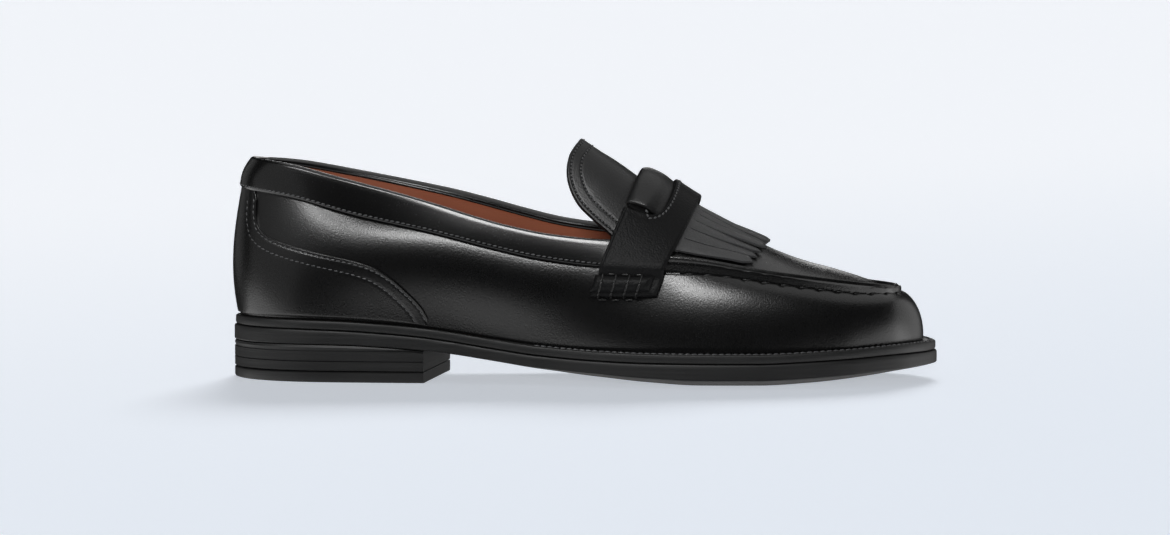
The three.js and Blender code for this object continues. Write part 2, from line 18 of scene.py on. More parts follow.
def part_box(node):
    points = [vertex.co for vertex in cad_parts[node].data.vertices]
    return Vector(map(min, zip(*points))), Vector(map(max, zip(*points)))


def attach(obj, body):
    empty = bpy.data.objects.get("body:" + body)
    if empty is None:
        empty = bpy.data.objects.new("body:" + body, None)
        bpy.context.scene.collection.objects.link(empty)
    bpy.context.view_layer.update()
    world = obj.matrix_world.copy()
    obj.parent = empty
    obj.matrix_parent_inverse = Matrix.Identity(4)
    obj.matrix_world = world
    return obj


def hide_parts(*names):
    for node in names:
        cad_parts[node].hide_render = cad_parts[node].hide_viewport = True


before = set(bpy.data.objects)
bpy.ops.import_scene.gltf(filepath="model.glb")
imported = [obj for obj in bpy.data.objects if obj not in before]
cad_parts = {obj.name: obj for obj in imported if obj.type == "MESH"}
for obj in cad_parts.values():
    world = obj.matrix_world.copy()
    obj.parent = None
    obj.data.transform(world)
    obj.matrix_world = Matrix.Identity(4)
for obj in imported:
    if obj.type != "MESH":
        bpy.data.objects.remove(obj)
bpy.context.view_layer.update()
LOG = logging.getLogger("loafer")

Array = np.ndarray
Colour = tuple[float, float, float]

LENGTH = 265.0
BALL_WIDTH = 88.0
HEEL_HEIGHT = 23.4
FOREFOOT_HEIGHT = 12.7
TOE_SPRING = 2.2
COLLAR_HEIGHT = 59.6
WALL = 1.8
GAP = 0.3
WELT = 3.3
WELT_MARGIN = 4.3
THROAT_START = 5.6
THROAT_END = 5.95
TOE = 12.0
OUTER = -1.0
INNER = 1.0


def lerp(start: Any, end: Any, share: Any) -> Any:
    """Value that lies this share of the way from start to end."""
    return start + (end - start) * share


def smoothstep(value: Any, low: float, high: float) -> Any:
    """Soft step from 0 at low to 1 at high."""
    share = np.clip((value - low) / (high - low), 0.0, 1.0)
    return share * share * (3.0 - 2.0 * share)


def unit(vectors: Array) -> Array:
    """The same directions with length 1."""
    return vectors / np.linalg.norm(vectors, axis=-1, keepdims=True)


def distances(points: Array) -> Array:
    """Distance travelled along a run of points, from 0 at the first."""
    return np.concatenate([[0.0], np.cumsum(np.linalg.norm(np.diff(points, axis=0), axis=1))])


def both_sides(inner: Array) -> Array:
    """Rising values from 0, with their mirror image before them."""
    return np.concatenate([-inner[::-1][:-1], inner])


@dataclass(frozen=True)
class Table:
    """Rows of sizes under named columns, a row for each station or key."""

    columns: str
    rows: tuple[tuple[float, ...], ...]

    def column(self, name: str) -> Array:
        """All values of one column."""
        place = self.columns.split().index(name)
        return np.array([row[place] for row in self.rows], float)

    def at(self, name: str, station: Array) -> Array:
        """Smooth value at a station; the rows are mirrored past the heel and the toe.

        Args:
            name: The column. Half and tilt change sign past the ends.
            station: Stations, with one row at each whole number.

        Returns:
            The column's value at each station.
        """
        values = self.column(name)
        last = len(values) - 1
        sign = -1.0 if name in ("half", "tilt") else 1.0
        low = np.floor(station).astype(int)
        t = station - low

        def pick(index: Array) -> Array:
            """The value of a row, or of its mirror image past an end."""
            folded = np.abs(index)
            folded = np.minimum(folded, 2 * last - folded)
            return values[folded] * np.where((index < 0) | (index > last), sign, 1.0)

        a, b, c, d = (pick(low + k) for k in (-1, 0, 1, 2))
        bend = 2 * a - 5 * b + 4 * c - d
        return 0.5 * (2 * b + (c - a) * t + bend * t**2 + (3 * b - a - 3 * c + d) * t**3)

    def along(self, key: str, name: str, value: Array) -> Array:
        """Smooth value between unevenly spaced keys, with no overshoot.

        Args:
            key: The column that is looked up.
            name: The column that is read.
            value: Where to look, in the key's terms.

        Returns:
            The read column's value at each place.
        """
        keys, values = self.column(key), self.column(name)
        slope = np.diff(values) / np.diff(keys)
        product, total = slope[:-1] * slope[1:], slope[:-1] + slope[1:]
        inner = np.where(product > 0, 2 * product / np.where(total == 0, 1, total), 0.0)
        tangent = np.concatenate([slope[:1], inner, slope[-1:]])
        i = np.clip(np.searchsorted(keys, value, side="right") - 1, 0, len(keys) - 2)
        width = keys[i + 1] - keys[i]
        t = np.clip((value - keys[i]) / width, 0.0, 1.0)
        start, end, rise = tangent[i] * width, tangent[i + 1] * width, values[i + 1] - values[i]
        bend = 3 * rise - 2 * start - end
        return values[i] + start * t + bend * t**2 + (start + end - 2 * rise) * t**3


# The sole from the side: x is a share of the length, thick and lift are millimetres.
PROFILE = Table("x rise spring thick lift", (
    (0.0, 1.0, 0.0, 9.3, 0.0),
    (0.09, 0.99, 0.0, 9.1, 0.0),
    (0.16, 0.95, 0.0, 8.8, 0.0),
    (0.23, 0.85, 0.0, 8.5, 0.0),
    (0.28, 0.74, 0.0, 8.4, 0.0),
    (0.32, 0.61, 0.0, 8.2, 0.0),
    (0.38, 0.385, 0.0, 8.0, 0.6),
    (0.45, 0.16, 0.0, 8.0, 1.4),
    (0.53, 0.04, 0.0, 8.3, 2.3),
    (0.6, 0.0, 0.0, 8.9, 2.9),
    (0.67, 0.0, 0.0, 9.5, 3.2),
    (0.76, 0.0, 0.0, 9.5, 3.2),
    (0.82, 0.0, 0.25, 9.4, 3.1),
    (0.885, 0.0, 0.6, 9.2, 2.6),
    (0.955, 0.0, 1.0, 8.9, 1.7),
    (1.0, 0.0, 0.9, 8.3, 1.0),
))

# The sole's outline at thirteen stations, from the back of the heel to the tip of the toe.
OUTLINE = Table("x middle half margin", (
    (0.0, 0.0, 0.0, 0.53),
    (0.03, 0.0, 0.199, 0.53),
    (0.1, -0.003, 0.31, 0.53),
    (0.2, -0.006, 0.33, 0.53),
    (0.33, -0.023, 0.318, 0.58),
    (0.45, -0.051, 0.335, 0.7),
    (0.555, -0.06, 0.401, 0.9),
    (0.65, -0.035, 0.473, 1.0),
    (0.74, -0.003, 0.497, 1.0),
    (0.825, 0.017, 0.466, 1.0),
    (0.9, 0.045, 0.402, 1.05),
    (0.965, 0.071, 0.262, 1.15),
    (1.0, 0.08, 0.0, 1.19),
))

# The main seam: the collar band's lower edge behind, the raised apron seam in front.
SEAM = Table("x middle half high tilt low shoulder", (
    (0.0137, 0.0, 0.0, 0.8, 0.0, 3.8, 2.8),
    (0.036, 0.0, 0.135, 0.785, 0.0, 3.8, 3.4),
    (0.101, 0.0, 0.235, 0.747, 0.004, 3.2, 4.8),
    (0.197, -0.006, 0.288, 0.662, 0.016, 2.8, 9.0),
    (0.333, -0.017, 0.33, 0.598, 0.023, 2.4, 5.4),
    (0.481, -0.026, 0.361, 0.547, 0.025, 2.6, 4.2),
    (0.598, -0.017, 0.375, 0.519, 0.019, 3.0, 3.6),
    (0.686, 0.002, 0.375, 0.497, 0.012, 2.2, 4.5),
    (0.765, 0.016, 0.359, 0.44, 0.003, 1.5, 5.5),
    (0.83, 0.023, 0.318, 0.379, -0.007, 1.2, 5.5),
    (0.89, 0.037, 0.255, 0.328, -0.011, 0.8, 5.0),
    (0.935, 0.043, 0.152, 0.308, -0.007, 0.6, 4.8),
    (0.951, 0.045, 0.0, 0.309, 0.0, 0.5, 4.6),
))

# The crest: the edge of the cone behind, the line of the instep and the vamp in front.
CREST = Table("x middle half high arch", (
    (0.05, 0.0, 0.0, 1.285, 1.1),
    (0.062, 0.0, 0.11, 1.285, 1.1),
    (0.118, 0.0, 0.172, 1.272, 1.15),
    (0.235, 0.0, 0.193, 1.267, 1.3),
    (0.447, 0.0, 0.0, 1.384, 1.7),
    (0.538, 0.0, 0.0, 1.228, 2.1),
    (0.642, 0.0, 0.0, 0.911, 2.2),
    (0.727, 0.006, 0.0, 0.696, 2.1),
    (0.799, 0.017, 0.0, 0.549, 2.0),
    (0.856, 0.028, 0.0, 0.466, 2.0),
    (0.898, 0.037, 0.0, 0.398, 2.0),
    (0.92, 0.043, 0.0, 0.35, 2.0),
    (0.932, 0.045, 0.0, 0.326, 2.0),
))

# The collar's top edge at the first eight stations; it is higher on one side by the tilt.
COLLAR = Table("high tilt", (
    (1.0, 0.0),
    (0.985, -0.003),
    (0.933, 0.0),
    (0.847, 0.013),
    (0.742, 0.031),
    (0.692, 0.022),
    (0.68, 0.017),
    (0.68, 0.017),
))


class Last:
    """The form that the leather is pulled over, in the source's own coordinates."""

    def bed(self, x: Array) -> Array:
        """Height of the welt's top at a place along the shoe."""
        rise = (HEEL_HEIGHT - FOREFOOT_HEIGHT) * PROFILE.along("x", "rise", x / LENGTH)
        return FOREFOOT_HEIGHT + rise + TOE_SPRING * PROFILE.along("x", "spring", x / LENGTH)

    def under(self, x: Array) -> Array:
        """Height of the outsole's lower edge."""
        return self.bed(x) - PROFILE.along("x", "thick", x / LENGTH)

    def under_middle(self, x: Array) -> Array:
        """Height of the middle of the outsole's underside."""
        return np.maximum(0.0, self.under(x) - PROFILE.along("x", "lift", x / LENGTH))

    def sole_edge(self, station: Array, side: Array, inset: Any = 0.0) -> Array:
        """Point of the sole's outline, moved in from the edge.

        Args:
            station: Stations from the heel to the toe.
            side: OUTER or INNER at each.
            inset: How far in, square to the outline.

        Returns:
            Plan points, with x and y in the last axis.
        """

        def plan(s: Array) -> Array:
            """Outline point at a station."""
            y = (OUTLINE.at("middle", s) + side * OUTLINE.at("half", s)) * BALL_WIDTH
            return np.stack([OUTLINE.at("x", s) * LENGTH, y], axis=-1)

        run = unit(plan(station + 0.02) - plan(station - 0.02))
        inward = np.stack([side * run[..., 1], -side * run[..., 0]], axis=-1)
        return plan(station) + inward * np.asarray(inset)[..., None]

    def seam(self, station: Array, side: Array) -> Array:
        """Point of the main seam.

        Args:
            station: Stations of the places.
            side: OUTER or INNER at each.

        Returns:
            The points, in millimetres.
        """
        x = SEAM.at("x", station) * LENGTH
        y = (SEAM.at("middle", station) + side * SEAM.at("half", station)) * BALL_WIDTH
        high = SEAM.at("high", station) + side * SEAM.at("tilt", station)
        return np.stack([x, y, self.bed(x) + high * COLLAR_HEIGHT], axis=-1)

    def crest(self, station: Array, side: Array) -> Array:
        """Point of the crest.

        Args:
            station: Stations of the places.
            side: OUTER or INNER at each.

        Returns:
            The points, in millimetres.
        """
        x = CREST.at("x", station) * LENGTH
        half = np.maximum(0.0, CREST.at("half", np.abs(station)))
        half = half * np.where(station < 0, -1.0, 1.0)
        y = (CREST.at("middle", station) + side * half) * BALL_WIDTH
        return np.stack([x, y, self.bed(x) + CREST.at("high", station) * COLLAR_HEIGHT], axis=-1)

    def point(self, station: Array, side: Array, v: Array) -> Array:
        """Point of the last: v is 0 at the welt, 1 at the seam and 2 at the crest.

        Args:
            station: Stations of the places.
            side: OUTER or INNER at each.
            v: How far up each lies.

        Returns:
            The points, in millimetres.
        """
        station, side, v = np.broadcast_arrays(*(np.asarray(a, float) for a in (station, side, v)))
        seam, crest = self.seam(station, side), self.crest(station, side)
        w = v - 1.0
        climb = 1.0 - np.abs(1.0 - w) ** CREST.at("arch", station)
        panel = lerp(seam, crest, climb[..., None])
        panel[..., 1] = lerp(seam[..., 1], crest[..., 1], w)
        margin = OUTLINE.at("margin", station) * WELT_MARGIN
        foot = self.sole_edge(station, side, margin)
        out = foot - self.sole_edge(station, side, margin + 1.0)
        out = np.concatenate([out, np.zeros_like(out[..., :1])], axis=-1)
        base = np.concatenate([foot, (self.bed(foot[..., 0]) + GAP)[..., None]], axis=-1)
        tall = seam[..., 2] - base[..., 2]
        vamp = smoothstep(station, 5.0, 8.0)
        low = base + out * SEAM.at("low", station)[..., None]
        low[..., 2] += lerp(0.38, 0.5, vamp) * tall
        high = seam + out * SEAM.at("shoulder", station)[..., None]
        high[..., 2] -= lerp(0.33, 0.12, vamp) * tall
        t = v[..., None]
        wall = (1 - t) ** 3 * base + 3 * (1 - t) ** 2 * t * low
        wall = wall + 3 * (1 - t) * t**2 * high + t**3 * seam
        return np.where(t > 1.0, panel, wall)

    def normal(self, station: Array, side: Array, v: Array) -> Array:
        """Outward unit normal of the last.

        Args:
            station: Stations of the places.
            side: OUTER or INNER at each.
            v: How far up each lies.

        Returns:
            The normals.
        """
        station, side, v = np.broadcast_arrays(*(np.asarray(a, float) for a in (station, side, v)))
        crest = (v >= 1.9999) & (station > THROAT_START - 1.5)
        face = np.where(crest, OUTER, side)
        step = 0.01
        run = self.point(station + step, face, v) - self.point(station - step, face, v)
        climb = self.point(station, face, v + step) - self.point(station, face, v - step)
        normal = np.cross(run, climb) * -face[..., None]
        normal[..., 1] = np.where(crest, 0.0, normal[..., 1])
        return unit(normal)

    def off(self, station: Array, side: Array, v: Array, lift: Any) -> Array:
        """Point that stands off the last by this lift."""
        point = self.point(station, side, v)
        return point + self.normal(station, side, v) * np.asarray(lift, float)[..., None]

    def spot(self, station: Array, reach: Array) -> Array:
        """Point by its signed distance in v from the crest: below 0 is the outer side."""
        return self.point(station, np.where(reach < 0, OUTER, INNER), 2.0 - np.abs(reach))

    def find(self, target: Array, station: Array, reach: Array) -> tuple[Array, Array]:
        """Station and signed reach of the places nearest to these points.

        Args:
            target: Points near the last.
            station: First guess of the stations.
            reach: First guess of the reaches.

        Returns:
            Stations and reaches.
        """
        for _ in range(6):
            away = target - self.spot(station, reach)
            run = (self.spot(station + 0.01, reach) - self.spot(station - 0.01, reach)) / 0.02
            climb = (self.spot(station, reach + 0.01) - self.spot(station, reach - 0.01)) / 0.02
            a, b, c = (np.sum(m * n, axis=-1) for m, n in ((run, run), (run, climb), (climb, climb)))
            d, e = np.sum(run * away, axis=-1), np.sum(climb * away, axis=-1)
            whole = a * c - b * b
            station = station + np.clip((c * d - b * e) / whole, -0.3, 0.3)
            reach = reach + np.clip((a * e - b * d) / whole, -0.2, 0.2)
        return station, reach

    def wall_at(self, station: Array, side: Array, high: Array) -> Array:
        """The v of the place on the wall that has this height over the sole.

        Args:
            station: Stations of the places.
            side: OUTER or INNER at each.
            high: Heights as shares of the collar's height.

        Returns:
            The v of each place.
        """
        target = self.bed(self.seam(station, side)[..., 0]) + high * COLLAR_HEIGHT
        low, top = np.zeros_like(target), np.ones_like(target)
        for _ in range(24):
            middle = (low + top) / 2
            under = self.point(station, side, middle)[..., 2] < target
            low, top = np.where(under, middle, low), np.where(under, top, middle)
        return low

    def top_edge(self, station: Array, side: Array) -> Array:
        """The v of the upper's top edge: the collar, then the throat, then the crest.

        Args:
            station: Stations of the places.
            side: OUTER or INNER at each.

        Returns:
            The v of each place.
        """
        seam, crest = self.seam(station, side), self.crest(station, side)
        near = np.minimum(station, len(COLLAR.rows) - 1.001)
        high = COLLAR.at("high", near) + side * COLLAR.at("tilt", near)
        target = self.bed(seam[..., 0]) + high * COLLAR_HEIGHT
        climb = np.clip((target - seam[..., 2]) / (crest[..., 2] - seam[..., 2]), 0.0, 1.0)
        w = 1.0 - (1.0 - climb) ** (1.0 / CREST.at("arch", station))
        v = 1.0 + lerp(w, 1.0, smoothstep(station, THROAT_START, THROAT_END))
        return np.where(station >= THROAT_END, 2.0, v)


LAST = Last()


def frame_shift() -> Array:
    """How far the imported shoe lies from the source's own coordinates, from the outsole's box.

    Returns:
        The shift in millimetres.
    """
    corner = np.array(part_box("outsole")[0]) * 1000.0
    rim = LAST.sole_edge(np.linspace(0.0, TOE, 43), np.full(43, OUTER))
    return np.array([corner[0], corner[1] - rim[:, 1].min(), 0.0])


SHIFT = frame_shift()


def eased(count: int, width: float, radius: float, fine: float = 0.0) -> Array:
    """Shares from 0 to 1 that crowd at both ends, where an edge is rounded.

    Args:
        count: Steps between the two rounded edges.
        width: Full width in millimetres.
        radius: Radius of the rounded edge.
        fine: Width at the start that gets steps of 0.3 mm, for channels and stitches.

    Returns:
        The shares, in rising order.
    """
    edge = np.array([0.0, 0.02, 0.1, 0.25, 0.5, 1.0]) * radius / width
    close = np.arange(radius + 0.3, fine, 0.3) / width
    start = np.concatenate([edge, close])
    middle = np.linspace(start[-1], 1.0 - edge[-1], count + 1)[1:-1]
    return np.concatenate([start, middle, (1.0 - edge)[::-1]])


def lay(name: str, points: Array, keep_open: bool = False) -> bpy.types.Object:
    """Lays a primitive grid on rows of points, and closes its seams.

    Args:
        name: Name of the piece.
        points: Millimetres, columns by rows by 3. Points that coincide become one.
        keep_open: Leaves the border open, for a skin that is given a wall later.

    Returns:
        The piece, in metres, with outward faces.
    """
    columns, rows = points.shape[0] - 1, points.shape[1] - 1
    bpy.ops.object.select_all(action="DESELECT")
    bpy.ops.mesh.primitive_grid_add(x_subdivisions=columns, y_subdivisions=rows, size=2.0)
    piece = bpy.context.object
    piece.name = piece.data.name = name
    flat = np.empty(len(piece.data.vertices) * 3)
    piece.data.vertices.foreach_get("co", flat)
    spots = flat.reshape(-1, 3)
    i = np.rint((spots[:, 0] + 1) / 2 * columns).astype(int)
    j = np.rint((spots[:, 1] + 1) / 2 * rows).astype(int)
    piece.data.vertices.foreach_set("co", ((points[i, j] + SHIFT) * 0.001).ravel())
    bpy.ops.object.mode_set(mode="EDIT")
    bpy.ops.mesh.select_all(action="SELECT")
    bpy.ops.mesh.remove_doubles(threshold=2e-6)
    if not keep_open:
        bpy.ops.mesh.fill_holes(sides=0)
    bpy.ops.mesh.normals_make_consistent(inside=False)
    bpy.ops.object.mode_set(mode="OBJECT")
    return piece


def two_faces(top: Array, bottom: Array) -> Array:
    """One run of rows that goes over a piece's top face and back under it."""
    return np.concatenate([top, bottom[:, ::-1]], axis=1)


def apply_modifier(piece: bpy.types.Object, kind: str, **settings: Any) -> None:
    """Adds a modifier with these settings and applies it.

    Args:
        piece: The piece that it changes.
        kind: The modifier's type.
        settings: Its settings by name.
    """
    bpy.ops.object.select_all(action="DESELECT")
    piece.select_set(True)
    bpy.context.view_layer.objects.active = piece
    modifier = piece.modifiers.new(kind.title(), kind)
    for setting, value in settings.items():
        setattr(modifier, setting, value)
    bpy.ops.object.modifier_apply(modifier=modifier.name)


def smooth(piece: bpy.types.Object, degrees: float = 60.0) -> None:
    """Shades a piece smooth, with creases only past this angle.

    Args:
        piece: The piece.
        degrees: The angle between two faces.
    """
    bpy.ops.object.select_all(action="DESELECT")
    piece.select_set(True)
    bpy.context.view_layer.objects.active = piece
    bpy.ops.object.shade_smooth_by_angle(angle=math.radians(degrees))


def join(name: str, pieces: Sequence[bpy.types.Object]) -> bpy.types.Object:
    """Joins pieces into one object of this name.

    Args:
        name: Name of the whole.
        pieces: What is joined.

    Returns:
        The joined piece.
    """
    bpy.ops.object.select_all(action="DESELECT")
    for piece in pieces:
        piece.select_set(True)
    bpy.context.view_layer.objects.active = pieces[0]
    if len(pieces) > 1:
        bpy.ops.object.join()
    pieces[0].name = pieces[0].data.name = name
    return pieces[0]


def count_triangles(piece: bpy.types.Object) -> int:
    """Triangles of a finished piece."""
    return sum(len(face.vertices) - 2 for face in piece.data.polygons)


class Slot(Enum):
    """The record's material slots."""

    LEATHER = "leather"
    SOLE = "sole"
    LINING = "lining"


def settle(piece: bpy.types.Object, material: bpy.types.Material,
           replaces: Sequence[str] = ()) -> bpy.types.Object:
    """Gives a finished piece its material and its place on the shoe.

    Args:
        piece: The finished piece.
        material: Its material.
        replaces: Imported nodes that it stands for.

    Returns:
        The same piece.
    """
    piece.data.materials.clear()
    piece.data.materials.append(material)
    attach(piece, "root")
    if replaces:
        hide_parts(*replaces)
    LOG.info("%s: %d triangles", piece.name, count_triangles(piece))
    return piece


# Materials


class Wire:
    """A node's output that takes part in sums."""

    def __init__(self, shader: "Shader", socket: bpy.types.NodeSocket) -> None:
        """Keeps the socket and the shader that it belongs to."""
        self.shader = shader
        self.socket = socket

    def _sum(self, operation: str, first: Any, second: Any) -> "Wire":
        """One Math node on two values."""
        return self.shader.node("ShaderNodeMath", {"operation": operation}, {0: first, 1: second})

    def __add__(self, other: Any) -> "Wire":
        """Sum."""
        return self._sum("ADD", self, other)

    def __sub__(self, other: Any) -> "Wire":
        """Difference."""
        return self._sum("SUBTRACT", self, other)

    def __rsub__(self, other: Any) -> "Wire":
        """Difference from a value."""
        return self._sum("SUBTRACT", other, self)

    def __mul__(self, other: Any) -> "Wire":
        """Product."""
        return self._sum("MULTIPLY", self, other)

    __radd__ = __add__
    __rmul__ = __mul__


class Shader:
    """The nodes of one material."""

    def __init__(self, name: str) -> None:
        """Starts a material with a principled shader and its output.

        Args:
            name: Name of the material.
        """
        self.material = bpy.data.materials.new(name)
        self.material.use_nodes = True
        self.tree = self.material.node_tree
        self.tree.nodes.clear()
        output = self.tree.nodes.new("ShaderNodeOutputMaterial")
        self.surface = self.tree.nodes.new("ShaderNodeBsdfPrincipled")
        self.tree.links.new(self.surface.outputs[0], output.inputs["Surface"])

    def feed(self, node: bpy.types.Node, inputs: dict[Any, Any]) -> None:
        """Sets or links a node's inputs.

        Args:
            node: The node.
            inputs: Values or wires by the input's name or number.
        """
        for key, value in inputs.items():
            if isinstance(value, Wire):
                self.tree.links.new(value.socket, node.inputs[key])
            else:
                node.inputs[key].default_value = value

    def node(self, kind: str, settings: Optional[dict[str, Any]] = None,
             inputs: Optional[dict[Any, Any]] = None, output: Any = 0) -> Wire:
        """Adds a node.

        Args:
            kind: The node's type.
            settings: Its own settings.
            inputs: Values or wires for its inputs.
            output: The output that is used.

        Returns:
            The output as a wire.
        """
        node = self.tree.nodes.new(kind)
        for name, value in (settings or {}).items():
            setattr(node, name, value)
        self.feed(node, inputs or {})
        return Wire(self, node.outputs[output])

    def place(self) -> Wire:
        """Object coordinates."""
        return self.node("ShaderNodeTexCoord", output="Object")

    def noise(self, place: Wire, per_metre: float, detail: float = 2.0) -> Wire:
        """Noise with this many features in a metre."""
        inputs = {"Vector": place, "Scale": per_metre, "Detail": detail}
        return self.node("ShaderNodeTexNoise", {"noise_dimensions": "3D"}, inputs)

    def blend(self, share: Wire, first: Colour, second: Colour) -> Wire:
        """Colour between two others."""
        inputs = {0: share, 6: (*first, 1.0), 7: (*second, 1.0)}
        return self.node("ShaderNodeMix", {"data_type": "RGBA"}, inputs, 2)

    def bump(self, height: Wire, depth: float, strength: float = 1.0) -> Wire:
        """Bumps of this depth in millimetres."""
        inputs = {"Height": height, "Distance": depth * 0.001, "Strength": strength}
        return self.node("ShaderNodeBump", {}, inputs)


@dataclass(frozen=True)
class LeatherFinish:
    """Dyed leather: its colour, its gloss and how fine its grain is."""

    name: str
    colour: Colour
    worn: Colour
    roughness: float
    coat: float
    coat_roughness: float = 0.18
    grain: float = 0.7
    relief: float = 0.05
    haze: float = 0.05
    shine: float = 0.5
    sparkle: float = 0.12

    def material(self) -> bpy.types.Material:
        """Leather with pores, a fine grain and a slightly uneven polish.

        Returns:
            The material.
        """
        shader = Shader(self.name)
        place = shader.place()
        cloud = shader.noise(place, 28.0, 4.0)
        pores = shader.node("ShaderNodeTexVoronoi", {"feature": "SMOOTH_F1"},
                            {"Vector": place, "Scale": 1000.0 / self.grain, "Smoothness": 0.5})
        fine = shader.noise(place, 1000.0 / self.grain, 3.0)
        relief = pores * 0.6 + fine * 0.8
        even = self.roughness - self.haze - 0.5 * self.sparkle
        shader.feed(shader.surface, {
            "Base Color": shader.blend(cloud * 0.5 + fine * 0.5, self.colour, self.worn),
            "Roughness": cloud * (2.0 * self.haze) + fine * self.sparkle + even,
            "Normal": shader.bump(relief, self.relief),
            "Coat Weight": self.coat,
            "Coat Roughness": self.coat_roughness,
            "Specular IOR Level": self.shine,
        })
        return shader.material


@dataclass(frozen=True)
class RubberFinish:
    """Moulded rubber with fine lines round its side."""

    name: str
    colour: Colour
    pale: Colour
    roughness: float
    lines: float = 900.0
    depth: float = 0.09

    def material(self) -> bpy.types.Material:
        """Satin rubber that is lined along its side.

        Returns:
            The material.
        """
        shader = Shader(self.name)
        place = shader.place()
        stretch = shader.node("ShaderNodeMapping", {}, {"Vector": place, "Scale": (0.03, 0.03, 1.0)})
        lines = shader.noise(stretch, self.lines, 2.0)
        cloud = shader.noise(place, 60.0, 3.0)
        speck = shader.noise(place, 2200.0, 1.0)
        shader.feed(shader.surface, {
            "Base Color": shader.blend(lines * 0.7 + cloud * 0.3, self.colour, self.pale),
            "Roughness": cloud * 0.16 + lines * 0.12 + (self.roughness - 0.14),
            "Normal": shader.bump(lines * 1.0 + speck * 0.12, self.depth),
            "Specular IOR Level": 0.38,
        })
        return shader.material


@dataclass(frozen=True)
class LiningFinish:
    """Soft lining leather, matt and a little mottled."""

    name: str
    colour: Colour
    pale: Colour

    def material(self) -> bpy.types.Material:
        """Matt leather with a fine nap.

        Returns:
            The material.
        """
        shader = Shader(self.name)
        place = shader.place()
        cloud = shader.noise(place, 45.0, 5.0)
        nap = shader.noise(place, 1800.0, 2.0)
        shader.feed(shader.surface, {
            "Base Color": shader.blend(cloud, self.colour, self.pale),
            "Roughness": nap * 0.2 + 0.6,
            "Normal": shader.bump(nap, 0.08),
            "Sheen Weight": 0.15,
        })
        return shader.material


@dataclass(frozen=True)
class ThreadFinish:
    """Waxed thread with its twist."""

    name: str
    colour: Colour
    roughness: float = 0.45

    def material(self) -> bpy.types.Material:
        """Twisted thread.

        Returns:
            The material.
        """
        shader = Shader(self.name)
        twist = shader.noise(shader.place(), 2600.0, 1.0)
        shader.feed(shader.surface, {
            "Base Color": shader.blend(twist, self.colour, tuple(c * 1.8 for c in self.colour)),
            "Roughness": twist * 0.2 + (self.roughness - 0.1),
            "Normal": shader.bump(twist, 0.12),
        })
        return shader.material


@dataclass(frozen=True)
class FloorFinish:
    """The studio floor: pale, with painted shade towards the front and the toe, and a painted glow that
    lightens it from within.
    """

    name: str
    near: Colour
    far: Colour
    glow: float

    def material(self) -> bpy.types.Material:
        """Matt surface with a long soft gradient of painted shade, and a painted glow.

        Returns:
            The material.
        """
        shader = Shader(self.name)
        place = shader.place()
        depth = shader.node("ShaderNodeSeparateXYZ", {}, {0: place}, "Y")
        across = shader.node("ShaderNodeSeparateXYZ", {}, {0: place}, "X")
        # Painted shade: the floor's colour darkens towards the front and the toe.
        share = shader.node("ShaderNodeMapRange", {"interpolation_type": "SMOOTHSTEP"},
                            {"Value": depth - across * 1.2, "From Min": -0.8, "From Max": 1.8})
        colour = shader.blend(share, self.near, self.far)
        # Painted glow: the floor's emission lightens it, also in the shadow under the shoe.
        shader.feed(shader.surface, {"Base Color": colour, "Roughness": 1.0, "Specular IOR Level": 0.0,
                                     "Emission Color": colour, "Emission Strength": self.glow})
        return shader.material


POLISHED = LeatherFinish("polished_leather", (0.0012, 0.0012, 0.00125), (0.003, 0.003, 0.0031),
                         0.29, 0.1, coat_roughness=0.16, grain=0.6, relief=0.048)
EDGED = LeatherFinish("band_leather", (0.0012, 0.0012, 0.00125), (0.003, 0.003, 0.0031),
                      0.25, 0.2, coat_roughness=0.12, grain=0.55, relief=0.02)
SOFT = LeatherFinish("soft_leather", (0.004, 0.004, 0.0041), (0.012, 0.012, 0.0121),
                     0.4, 0.0, grain=0.7, relief=0.09, shine=0.42)
MATT = LeatherFinish("strap_leather", (0.002, 0.002, 0.0021), (0.013, 0.013, 0.0131),
                     0.42, 0.0, grain=0.7, relief=0.14, shine=0.09)
GRAINED = LeatherFinish("kiltie_leather", (0.008, 0.008, 0.0081), (0.08, 0.08, 0.0805),
                        0.5, 0.0, grain=0.75, relief=0.14, shine=0.5)
RUBBER = RubberFinish("satin_rubber", (0.005, 0.005, 0.005), (0.012, 0.012, 0.012), 0.5)
LINING = LiningFinish("brown_lining", (0.27, 0.083, 0.042), (0.32, 0.105, 0.055))
THREAD = ThreadFinish("black_thread", (0.045, 0.045, 0.0455), 0.34)
CORD = ThreadFinish("heavy_thread", (0.004, 0.004, 0.0041), 0.42)
# Painted shade: near-black matt blobs between the stitches stand in for the shade inside the needle holes.
HOLE_SHADE = ThreadFinish("needle_hole_shade", (0.001, 0.001, 0.001), 0.9)
WELT_THREAD = ThreadFinish("welt_thread", (0.05, 0.05, 0.052))


# Laid leather


@dataclass
class Line:
    """A line on a piece: its points, and which way is out."""

    points: Array
    normals: Array

    def part(self, start: float, end: float) -> "Line":
        """The part of the line between two shares of its count."""
        low, high = (int(round(share * (len(self.points) - 1))) for share in (start, end))
        return Line(self.points[low:high + 1], self.normals[low:high + 1])

    def spaced(self, pitch: float, phase: float = 0.5) -> tuple[Array, Array, Array]:
        """Evenly spaced places on the line.

        Args:
            pitch: Distance from one to the next, in millimetres.
            phase: Where the first place lies, as a share of that distance.

        Returns:
            The places, the direction of the line there, and the way out.
        """
        travelled = distances(self.points)
        count = max(2, int(travelled[-1] / pitch))
        wanted = (np.arange(count) + phase) * travelled[-1] / count

        def read(values: Array, where: Array) -> Array:
            """Values at distances along the line."""
            return np.stack([np.interp(where, travelled, values[:, k]) for k in range(3)], axis=-1)

        run = unit(read(self.points, wanted + 0.3) - read(self.points, wanted - 0.3))
        out = read(self.normals, wanted)
        out = unit(out - run * np.sum(run * out, axis=1, keepdims=True))
        return read(self.points, wanted), run, out


